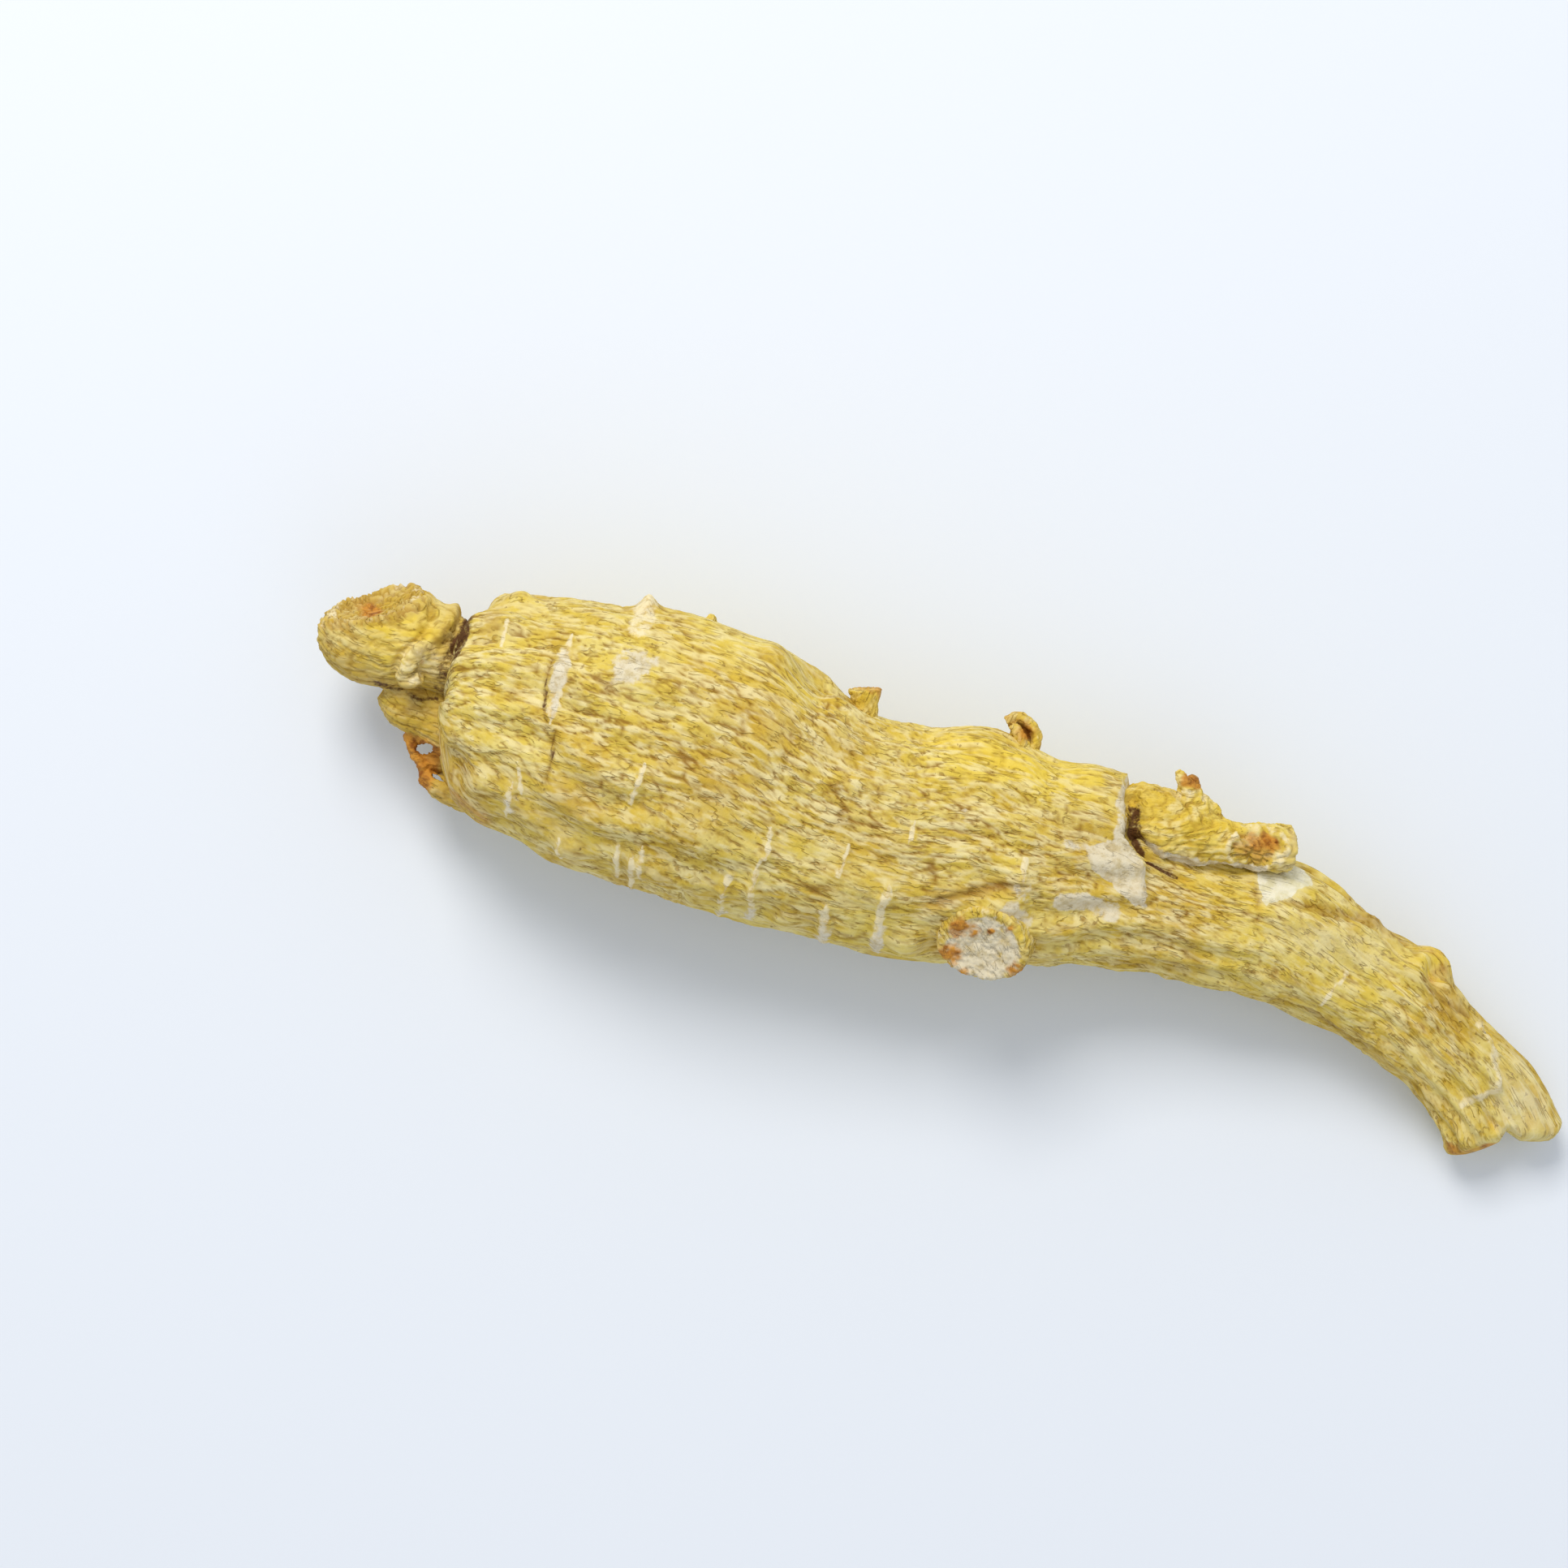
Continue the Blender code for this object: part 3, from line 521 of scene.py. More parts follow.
def body_relief(along, angle, x, y, width):
    """Height of the skin over the plain tube, and the masks that colour it."""
    front = soft(np.sin(angle) * 4 + 0.6)
    height = folds(along, angle) + torn_step(x, y, angle)
    u, v, w = pattern_place(along, angle, width)
    lumps = grain(u / 7.0, v / 3.2, w / 3.2, 11) + 0.65 * grain(u / 3.0, v / 1.9, w / 1.9, 12)
    height += LUMP_HEIGHT * lumps
    for bumps, underside in ((FACE_BUMPS, False), (BACK_BUMPS, True)):
        for bx, by, long, wide, high in bumps:
            at, turn = locate(bx, by, underside)
            off = ((along - at) / long) ** 2 + (turned(angle, turn) * width / wide) ** 2
            height += high * np.exp(-1.4 * off**1.3)
    ring_cover = np.zeros(x.shape)
    for at, first, last, high in BACK_RINGS:
        middle, half = math.radians((first + last) / 2), math.radians((last - first) / 2)
        reach = np.clip(1.25 - np.abs(turned(angle, middle)) / half, 0, 0.25) / 0.25
        on = reach * bell(along - at - 0.35 * np.sin(3.0 * angle + at), 0.4)
        height += high * on
        ring_cover = np.maximum(ring_cover, on)
    for points, half, high in RIDGES:
        height += front * high * bell(off_line(x, y, points)[0], half)
    peeled = seen(x, y, "peeled") * front
    height -= PEELED_DEPTH * peeled
    raised, raised_on = seen_lines(x, y, RINGS, 21)
    sunk, sunk_on = seen_lines(x, y, CREASES, 22)
    height += front * (raised - sunk)
    ring_cover = np.maximum(ring_cover, raised_on * front)
    # how strongly the skin is wrinkled: less towards the tail, most over the middle of the seen face
    wrinkled = np.interp(along, (0, 45, 58, 66, 90), (1.0, 1.0, 0.9, 0.72, 0.66))
    wrinkled = wrinkled * (0.72 + 0.38 * bell(np.cos(angle) - 0.15, 0.6))
    wrinkled = wrinkled * (1 + 0.35 * grain(u / 6.0, v / 4.0, w / 4.0, 13))
    puff, deep = wrinkles(angle, u, v, w, width)
    smooth_here = ring_cover + front * (0.8 * seen(x, y, "bare") + 0.6 * seen(x, y, "cork")) + 0.75 * peeled
    smooth_here = np.clip(smooth_here, 0, 1)
    wrinkled = wrinkled * (1 - 0.8 * smooth_here)
    height += PUFF_HEIGHT * wrinkled * (puff - 0.75)
    masks = {kind: seen(x, y, kind) * front for kind in KINDS}
    # painted shade: the creases and sunk lines are darker the deeper they lie, over the creases' own ochre
    masks["crease_ochre_and_shade"] = deep * wrinkled * 1.15 + 0.5 * sunk_on * front
    masks["pale"] = np.maximum(ring_cover, masks["pale"])
    # the puffs' tops get the pale crest tone: partly their own pale skin, partly a painted highlight
    masks["puff"] = puff * wrinkled + 0.6 * peeled
    gap, share = off_line(x, y, GAP)
    in_gap = bell(gap, np.interp(share, (0, 1), GAP_HALF_WIDTHS)) * front
    height -= BODY_GAP_DEPTH * in_gap * (1 - 0.6 * share)
    return height, masks


def oval(x, y, px, py, long, wide, turn):
    """1 in the middle of an oval seen from above, falling to about a third at its edge."""
    c, s = math.cos(math.radians(turn)), math.sin(math.radians(turn))
    a, b = ((x - px) * c + (y - py) * s) / long, ((y - py) * c - (x - px) * s) / wide
    return np.exp(-1.2 * (a * a + b * b) ** 1.4)


def depth_inside(x, y, corners):
    """How far each place lies inside an area's edge, less than nothing for those outside."""
    inside = np.zeros(x.shape, bool)
    for (ax, ay), (bx, by) in zip(corners, corners[1:] + corners[:1]):
        crosses = (ay > y) != (by > y)
        inside ^= crosses & (x < ax + (bx - ax) * (y - ay) / (by - ay if by != ay else 1e-9))
    edge = off_line(x, y, corners + corners[:1])[0]
    return np.where(inside, edge, -edge)


def seen(x, y, kind):
    """How much the lines, patches and crisp areas of this kind cover each place seen from above."""
    cover = np.zeros(x.shape)
    for points, half, strength in LINES.get(kind, ()):
        cover = np.maximum(cover, strength * soft(1.5 - off_line(x, y, points)[0] / half * 0.75))
    for *shape, strength in PATCHES.get(kind, ()):
        cover = np.maximum(cover, strength * oval(x, y, *shape))
    for corners, strength in AREAS.get(kind, ()):
        torn = 0.22 * grain(x / 0.9, y / 0.9, x * 0, 17) + 0.10 * grain(x / 0.35, y / 0.35, x * 0, 18)
        torn = torn + depth_inside(x, y, corners)
        cover = np.maximum(cover, strength * soft(0.5 + torn / 0.5))
    return cover


def round_section(angle):
    """A rounded-square section's reach at each angle, where a circle has 1."""
    p = SQUARENESS
    return (np.abs(np.cos(angle)) ** p + np.abs(np.sin(angle)) ** p) ** (-1 / p)


def ring_places():
    """Distances of the body's rings: even, and closer in the domes at the ends."""
    quarter = (np.arange(DOME_RINGS) + 0.25) / DOME_RINGS * math.pi / 2
    crown = CROWN_DOME * (1 - np.cos(quarter))
    tail = LENGTH - TAIL_DOME * (1 - np.cos(quarter))
    even = np.linspace(CROWN_DOME, LENGTH - TAIL_DOME, BODY_RINGS - 2 * DOME_RINGS)
    return np.concatenate([crown, even, tail[::-1]])


def side_angles():
    """Angles of the body's lengthwise lines: closer together on the face that looks up."""
    even = (np.arange(BODY_SIDES) + 0.5) / BODY_SIDES * 2 * math.pi
    return even - 0.42 * np.sin(even - math.pi / 2)


def body_shape(along, angle):
    """The body's places in mm, with its masks."""
    # the crown's end is uneven, and set back along its upper edge
    uneven = grain(np.cos(angle) * 2.4, np.sin(angle) * 2.4, along * 0, 14)
    uneven = uneven + 0.6 * grain(np.cos(angle) * 7.0, np.sin(angle) * 7.0, along * 0, 15)
    back = 0.85 * np.clip(np.cos(angle) + 0.1, 0, 1) + 1.3 * soft((np.cos(angle) - 0.70) / 0.28)
    from_crown = along
    along = along + (0.65 * uneven + back) * soft(1 - along / 5.0)
    from_tail = LENGTH - along
    middle_x, middle_y, width, thickness, clearance = np.moveaxis(body_rows(along), -1, 0)
    side_x, side_y = np.moveaxis(across(along), -1, 0)
    flat = width * np.cos(angle)
    height, masks = body_relief(along, angle, middle_x + side_x * flat, middle_y + side_y * flat, width)
    height = height * np.clip(from_crown / 0.7, 0.2, 1) * np.clip(from_tail / 2.0, 0.25, 1)
    reach = 1.0
    for gone, dome in ((from_crown, CROWN_DOME), (from_tail, TAIL_DOME)):
        left = 1 - np.clip(gone / dome, 0, 1)
        reach = reach * np.sqrt(np.clip(1 - left**2, 0, 1))
    section = round_section(angle)
    out = np.cos(angle) * (width * section + height) * reach
    up = np.sin(angle) * (thickness * section + height) * reach
    lobe = np.interp(np.cos(angle) * reach, *zip(*TAIL_END)) * np.clip(1 - from_tail / 5.0, 0, 1) ** 2
    x = middle_x + side_x * out + side_y * lobe
    y = middle_y + side_y * out - side_x * lobe
    z = np.maximum(thickness + clearance + up, 0.0)
    return np.stack([x, y, z], axis=-1), masks


# Making and finishing a piece


def pick(piece):
    """Makes this the only selected piece, and the active one."""
    bpy.ops.object.select_all(action="DESELECT")
    piece.select_set(True)
    bpy.context.view_layer.objects.active = piece


def rolled_grid(name, rings, sides):
    """A flat grid to be rolled into a tube, with each vertex's ring and its place round the tube."""
    bpy.ops.mesh.primitive_grid_add(x_subdivisions=rings - 1, y_subdivisions=sides, size=1)
    piece = bpy.context.object
    piece.name = piece.data.name = name
    number = np.arange(len(piece.data.vertices))
    return piece, number % rings, number // rings


def place_vertices(piece, places):
    """Moves every vertex to its place, given in the tables' millimetres."""
    moved = (places - ORIGIN) * MM
    piece.data.vertices.foreach_set("co", moved.ravel())
    piece.data.update()


def note(piece, masks, skin_places):
    """Keeps each mask, from 0 to 1, and where on the skin every vertex lies, for the material to read."""
    count = len(piece.data.vertices)
    for kind in KINDS:
        kept = piece.data.attributes.new(kind, "FLOAT", "POINT")
        kept.data.foreach_set("value", np.full(count, np.clip(masks[kind], 0, 1), float))
    kept = piece.data.attributes.new("skin_mm", "FLOAT_VECTOR", "POINT")
    kept.data.foreach_set("vector", np.stack(skin_places, axis=-1).ravel())


def close_tube(piece):
    """Joins the rolled grid's two edges, fills its ends and turns every face outwards."""
    pick(piece)
    bpy.ops.object.mode_set(mode="EDIT")
    bpy.ops.mesh.select_all(action="SELECT")
    bpy.ops.mesh.remove_doubles(threshold=0.000001)
    bpy.ops.mesh.select_all(action="DESELECT")
    bpy.ops.mesh.select_mode(type="EDGE")
    bpy.ops.mesh.select_non_manifold()
    bpy.ops.mesh.fill_holes(sides=0)
    bpy.ops.mesh.select_all(action="SELECT")
    bpy.ops.mesh.normals_make_consistent(inside=False)
    bpy.ops.mesh.select_mode(type="VERT")
    bpy.ops.object.mode_set(mode="OBJECT")
    bpy.ops.object.shade_smooth()


def finish_piece(piece, material):
    """Gives a piece its material and hangs it on the model's frame."""
    piece.data.materials.clear()
    piece.data.materials.append(material)
    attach(piece, "root")
    return piece


def tube(name, table, rings, sides):
    """A closed tube through the table's middles, at its half widths and half thicknesses."""
    table = np.array(table, float)
    knots = distances(table[:, :3])
    rows = smooth(knots, table, np.linspace(0, knots[-1], rings))
    way = np.gradient(rows[:, :3], axis=0)
    way /= np.linalg.norm(way, axis=1, keepdims=True)
    level = np.cross(np.array([0.0, 0.0, 1.0]), way)
    level /= np.linalg.norm(level, axis=1, keepdims=True)
    upward = np.cross(way, level)
    piece, ring, place = rolled_grid(name, rings, sides)
    angle = place * 2 * math.pi / sides
    out = (np.cos(angle) * rows[ring, 3])[:, None] * level[ring]
    up = (np.sin(angle) * rows[ring, 4])[:, None] * upward[ring]
    place_vertices(piece, rows[ring, :3] + out + up)
    close_tube(piece)
    return piece


def grown_together(name, tubes, voxel, rounds):
    """Several closed tubes joined into one skin of even small faces, and smoothed."""
    bpy.ops.object.select_all(action="DESELECT")
    for piece in tubes:
        piece.select_set(True)
    bpy.context.view_layer.objects.active = tubes[0]
    bpy.ops.object.join()
    piece = bpy.context.object
    piece.name = piece.data.name = name
    piece.data.remesh_voxel_size = voxel * MM
    bpy.ops.object.voxel_remesh()
    soften = piece.modifiers.new("soften", "SMOOTH")
    soften.factor = 0.5
    soften.iterations = rounds
    bpy.ops.object.modifier_apply(modifier=soften.name)
    bpy.ops.object.shade_smooth()
    return piece


def read_piece(piece):
    """A piece's vertex places in the tables' millimetres, and its normals."""
    count = len(piece.data.vertices)
    places, normals = np.empty(count * 3), np.empty(count * 3)
    piece.data.vertices.foreach_get("co", places)
    piece.data.vertices.foreach_get("normal", normals)
    return places.reshape(-1, 3) / MM + ORIGIN, normals.reshape(-1, 3)


# Materials

MATH, RANGE, MIX = "ShaderNodeMath", "ShaderNodeMapRange", "ShaderNodeMix"
TIMES, TIMES_PLUS = {"operation": "MULTIPLY"}, {"operation": "MULTIPLY_ADD"}
EASED = {"interpolation_type": "SMOOTHSTEP"}
TONES = {"data_type": "RGBA", "clamp_factor": True}


def colour(text):
    """A colour written as sRGB hex, as the renderer wants it."""
    parts = [int(text[i : i + 2], 16) / 255 for i in (1, 3, 5)]
    return (*[p / 12.92 if p <= 0.04045 else ((p + 0.055) / 1.055) ** 2.4 for p in parts], 1.0)


def wire(tree, kind, settings, links, out=0):
    """Adds a node with its settings and links: numbers, colours or other nodes' sockets. Gives its output."""
    made = tree.nodes.new(kind)
    for name, value in settings.items():
        setattr(made, name, value)
    for name, value in links.items() if isinstance(links, dict) else enumerate(links):
        if isinstance(value, bpy.types.NodeSocket):
            tree.links.new(value, made.inputs[name])
        else:
            made.inputs[name].default_value = value
    return made.outputs[out]


def root_skin():
    """Dried root skin: starchy yellow, ochre and painted shade in the creases, pale crests with a painted
    highlight, corky scars, rusty torn fibres. Matte.
    """
    material = bpy.data.materials.new("dried_ginseng_skin")
    material.use_nodes = True
    tree = material.node_tree
    place = wire(tree, "ShaderNodeTexCoord", {}, {}, "Object")
    skin = wire(tree, "ShaderNodeAttribute", {"attribute_name": "skin_mm"}, {}, "Vector")
    mask = {kind: wire(tree, "ShaderNodeAttribute", {"attribute_name": kind}, {}, "Fac") for kind in KINDS}

    # places on the skin drawn out lengthwise, for creases 2 mm long and for the crests between them, pale and
    # with a painted highlight
    creases_at, crests_at = (
        wire(tree, "ShaderNodeVectorMath", {"operation": "MULTIPLY"}, (skin, (drawn, 1.0, 1.0)))
        for drawn in (0.26, 0.32)
    )
    # each noise: its places, their unit in mm, the size of its waves in mm, detail and roughness
    noise = {}
    for name, at, unit, size, detail, rough in (
        ("crease", creases_at, 1.0, 0.55, 2.0, 0.5),
        ("crest", crests_at, 1.0, 0.60, 2.0, 0.5),
        ("broad", place, 1000.0, 7.0, 3.0, 0.5),
        ("middling", place, 1000.0, 1.6, 4.0, 0.6),
        ("small", place, 1000.0, 0.75, 3.0, 0.6),
        ("fine", place, 1000.0, 0.35, 3.0, 0.6),
        ("break", place, 1000.0, 1.1, 2.0, 0.5),
        ("speck", place, 1000.0, 0.50, 2.0, 0.5),
    ):
        links = {"Vector": at, "Scale": unit / size, "Detail": detail, "Roughness": rough}
        noise[name] = wire(tree, "ShaderNodeTexNoise", {}, links, "Fac")

    # each share: the noise it comes from, eased between two of its values to the least and most it gives
    share = {}
    for name, source, low, high, least, most in (
        ("unbroken", "break", 0.42, 0.60, 0.0, 1.0),
        ("light", "middling", 0.38, 0.66, 0.0, 0.8),
        ("stain_and_shade_amount", "middling", 0.25, 0.65, 0.2, 0.65),
        ("crest", "crest", 0.45, 0.61, 0.0, 0.60),
        ("speck", "speck", 0.67, 0.72, 0.0, 0.5),
        ("pore", "fine", 0.45, 0.30, 0.0, 0.35),
    ):
        share[name] = wire(tree, RANGE, EASED, (noise[source], low, high, least, most))
    # each mask made ragged by noises added to it, between two thresholds, up to the most it covers
    for kind, added, low, high, most in (
        ("bare", {"small": 0.5}, 0.80, 1.00, 1.0),
        ("pale", {"small": 1.5}, 1.17, 1.73, 0.88),
        ("cork", {"small": 0.8, "middling": 0.9}, 1.19, 1.51, 0.88),
        ("rust", {"middling": 0.8}, 0.65, 1.10, 1.0),
        ("dirt", {"middling": 1.2, "fine": 0.8}, 1.55, 1.95, 1.0),
    ):
        value = mask[kind]
        for name, weight in added.items():
            value = wire(tree, MATH, TIMES_PLUS, (noise[name], weight, value))
        share[kind] = wire(tree, RANGE, EASED, (value, low, high, 0.0, most))
    # each uneven tone: the noise that varies it, between two of its values, and its two ends
    tone = {}
    for kind, source, low, high, first, last in (
        ("skin", "broad", 0.38, 0.62, "#cfad3c", "#dec350"),
        # bare skin is pale; its tone is also painted lighter, as painted light against the side root's shadow
        # on the bare patch past it
        ("bare", "small", 0.30, 0.65, "#e0d9b2", "#f3efd9"),
        ("pale", "small", 0.25, 0.55, "#cfab68", "#f2e4ba"),
        ("cork", "small", 0.30, 0.60, "#cab991", "#e4dac0"),
        ("rust", "small", 0.30, 0.62, "#945619", "#d39436"),
    ):
        varied = wire(tree, RANGE, EASED, (noise[source], low, high, 0.0, 1.0))
        tone[kind] = wire(tree, MIX, TONES, {0: varied, 6: colour(first), 7: colour(last)}, 2)
    tone["cork"] = wire(tree, MIX, TONES, {0: share["pore"], 6: tone["cork"], 7: colour("#a08a5c")}, 2)

    # a crease runs where its noise is close to its middle value
    off = wire(tree, MATH, {"operation": "SUBTRACT"}, (noise["crease"], 0.5))
    off = wire(tree, MATH, {"operation": "ABSOLUTE"}, (off,))
    crease = wire(tree, RANGE, EASED, (off, 0.040, 0.006, 0.0, 1.0))
    crease = wire(tree, MATH, TIMES, (crease, share["unbroken"]))
    bare = wire(tree, MATH, TIMES, (mask["bare"], 0.5))
    bare = wire(tree, MATH, {"operation": "MAXIMUM"}, (share["bare"], bare))
    seen_tone = tone["skin"]
    for cover, over in (
        ((share["light"], 1.0), colour("#e8d683")),
        ((mask["lemon"], 1.0), colour("#efd044")),
        # stains, and the painted shade of the crease before the knob
        ((mask["stain_and_shade"], share["stain_and_shade_amount"]), colour("#c0983a")),
        # painted highlight on the puffs' tops, over the crests' own pale skin
        ((mask["puff"], share["crest"]), colour("#f2e6b4")),
        # painted shade in the fine creases, over their own ochre
        ((crease, 0.52), colour("#a0760c")),
        # painted shade in the deeper creases, over their own ochre
        ((mask["crease_ochre_and_shade"], 0.86), colour("#8b5d06")),
        ((share["speck"], 1.0), colour("#7a531b")),
        ((bare, 0.9), tone["bare"]),
        ((share["pale"], 1.0), tone["pale"]),
        ((share["cork"], 1.0), tone["cork"]),
        ((share["rust"], 1.0), tone["rust"]),
        ((share["dirt"], 1.0), colour("#5e3c1b")),
    ):
        covered = wire(tree, MATH, TIMES, cover)
        seen_tone = wire(tree, MIX, TONES, {0: covered, 6: seen_tone, 7: over}, 2)

    relief = wire(tree, MATH, TIMES_PLUS, (noise["fine"], 0.5, noise["middling"]))
    relief = wire(tree, MATH, TIMES_PLUS, (crease, -0.6, relief))
    bump = wire(tree, "ShaderNodeBump", {}, {"Strength": 0.8, "Distance": 0.00015, "Height": relief})
    shader = tree.nodes["Principled BSDF"]
    tree.links.new(seen_tone, shader.inputs["Base Color"])
    tree.links.new(bump, shader.inputs["Normal"])
    shader.inputs["Roughness"].default_value = 0.72
    shader.inputs["IOR"].default_value = 1.35
    return material


def table_top():
    """A white coated table top: one even, slightly cool tone with a soft sheen."""
    material = bpy.data.materials.new("white_table_top")
    material.use_nodes = True
    shader = material.node_tree.nodes["Principled BSDF"]
    shader.inputs["Base Color"].default_value = colour("#e9eff7")
    shader.inputs["Roughness"].default_value = 0.55
    return material


# The pieces


def make_body(material):
    piece, ring, place = rolled_grid("ginseng_body", BODY_RINGS, BODY_SIDES)
    along = ring_places()[ring]
    angle = side_angles()[place % BODY_SIDES]
    places, masks = body_shape(along, angle)
    place_vertices(piece, places)
    note(piece, masks, pattern_place(along, angle, body_rows(along)[:, 2]))
    close_tube(piece)
    return finish_piece(piece, material)


def along_and_rest(places, axis):
    """How far along an axis the places lie, and what is left of them off it."""
    axis = np.array(axis, float) / np.linalg.norm(axis)
    along = places @ axis
    return along, places - along[:, None] * axis


def fibres(places, axis, long, wide, seed):
    """Lengthwise fibres and shallow puffs on a grown form: height from 0 to 1 and how deep in a crease."""
    along, rest = along_and_rest(places, axis)
    bent = rest[:, 0] + 0.3 * waves(places, 1.3, seed + 1)
    total, apart = rest[:, 1] + rest[:, 2], rest[:, 1] - rest[:, 2]
    a = np.abs(grain(along / long, bent / wide, total / wide, seed))
    b = np.abs(grain(along / long * 2, bent / wide * 2, apart / wide * 2, seed + 2))
    puff = 0.65 * np.clip(a / 0.3, 0, 1) ** 0.7 + 0.35 * np.clip(b / 0.3, 0, 1) ** 0.8
    return puff, np.clip(0.8 * bell(a, 0.08) + 0.5 * bell(b, 0.09), 0, 1)


def finish_grown(piece, places, axis, masks, material):
    """Notes a grown piece's masks and where its skin lies along its axis and round it, and finishes it."""
    along, rest = along_and_rest(places, axis)
    note(piece, masks, (along, rest[:, 0], rest[:, 1] + rest[:, 2]))
    return finish_piece(piece, material)


def cut_openings(piece):
    """Cuts the two openings right through the dried skin under the old bud."""
    for x, y, long, wide, turn in OPENINGS:
        at = (np.array((x, y, STRAND_HEIGHT)) - ORIGIN) * MM
        bpy.ops.mesh.primitive_uv_sphere_add(segments=20, ring_count=12, radius=MM, location=at)
        tool = bpy.context.object
        tool.scale = (long, wide, OPENING_DEPTH)
        tool.rotation_euler = (0.0, 0.0, math.radians(turn))
        bpy.ops.object.transform_apply(location=False, rotation=True, scale=True)
        pick(piece)
        cut = piece.modifiers.new("opening", "BOOLEAN")
        cut.operation = "DIFFERENCE"
        cut.object = tool
        cut.solver = "EXACT"
        bpy.ops.object.modifier_apply(modifier=cut.name)
        bpy.data.objects.remove(tool, do_unlink=True)


def make_crown(material):
    tubes = [
        tube("crown", CROWN, 40, 36),
        tube("new_bud", NEW_BUD, 34, 16),
        tube("old_bud", OLD_BUD, 20, 24),
        tube("strand", STRAND, 24, 14),
        tube("web", WEB, 12, 12),
    ]
    # the stem's scar flattens the crown before the forms grow together
    places, _ = read_piece(tubes[0])
    way = STEM_SCAR_WAY / np.linalg.norm(STEM_SCAR_WAY)
    past = (places - STEM_SCAR_AT) @ way
    place_vertices(tubes[0], places - np.clip(past, 0, None)[:, None] * way)
    piece = grown_together("ginseng_crown", tubes, voxel=0.13, rounds=2)
    cut_openings(piece)

    places, normals = read_piece(piece)
    x, y, z = places.T
    axis = (0.97, 0.2, 0.02)
    puff, deep = fibres(places, axis, 3.4, 0.85, 41)
    rough = waves(places, 0.55, 43) + 0.6 * waves(places, 0.28, 44)
    from_scar = (places - STEM_SCAR_AT) @ way
    from_middle = np.linalg.norm(places - STEM_SCAR_AT, axis=1)
    on_scar = soft(1.4 - np.abs(from_scar) / 0.5) * soft((normals @ way) * 3 - 1.2)
    rim = bell(from_middle + 0.5 * waves(places, 1.1, 45) - 3.3, 0.40) * soft((normals @ way) * 2 + 0.3)
    # the scar's loose fibres run slantwise over it
    slantwise = places @ np.array(((0.80, 0.36, 0.0), (-0.5, 1.0, 0.0), (0.0, 0.0, 1.0)))
    threads = np.clip(np.abs(waves(slantwise, (2.0, 0.42, 0.6), 47)) / 0.3, 0, 1)
    on_bud = soft((z - 11.2) / 0.6) * soft(1.7 - np.hypot(x - 8.2, y - 0.6) / 1.4)
    on_strand = soft((-3.9 - y) / 0.7) * soft((13.0 - x) / 1.5)
    height = 0.19 * (puff - 0.6) * (1 - on_scar) + 0.18 * waves(places, 2.3, 46)
    height += (0.03 + 0.03 * on_bud + 0.12 * on_strand) * rough
    height += 0.24 * rim * (0.7 + 0.3 * rough) - 0.45 * on_scar * soft(1.1 - from_middle / 3.0)
    height += 0.34 * on_scar * (threads - 0.5)
    for points, half, high in CROWN_MARKS:
        height += high * bell(off_line(x, y, points)[0], half) * (z > 8)
    place_vertices(piece, places + normals * height[:, None])

    facing_up = soft(normals[:, 2] * 3 + 1.2)
    ember = bell(x - 3.2, 0.9) * bell(y - 3.2, 0.6)
    bud_tip = bell(np.hypot(x - 8.4, y - 0.9), 0.4) * on_bud
    crevice = off_line(x, y, ((5.6, -1.9), (7.5, -1.6), (9.0, -1.8), (10.2, -1.2)))[0]
    stain_and_shade = 1.3 * on_scar * (1.1 - 0.6 * threads) + 0.4 * soft((2.5 - x) / 2.5) + 0.2
    stain_and_shade += 0.9 * soft((0.2 - y) / 2.2) + 0.6 * soft((x - 8.2) / 1.0)
    masks = {
        # painted shade: darker in the creases and between the scar's threads, over their own ochre
        "crease_ochre_and_shade": deep * 0.6 * (1 - on_scar) + 0.55 * on_scar * (1 - threads),
        "puff": puff * (0.45 + 0.55 * on_bud),
        "pale": 0.50 * on_bud + 0.5 * soft((1.5 - x) / 1.2) + 0.6 * rim * soft(1 + rough),
        "cork": 0.3 * rim * soft((x - 3.0) / 2.0),
        "rust": on_scar * (0.22 + 0.8 * ember) + 0.70 * on_strand + 0.45 * bud_tip,
        "stain_and_shade": stain_and_shade,
        "dirt": np.maximum(seen(x, y, "dirt") * facing_up, 0.75 * bell(crevice, 0.35)),
        "bare": 0.4 * on_bud,
        "lemon": 0.7 * soft(1.6 - np.hypot(x - 6.3, y - 2.4) / 2.4) * (1 - on_scar),
    }
    return finish_grown(piece, places, axis, masks, material)


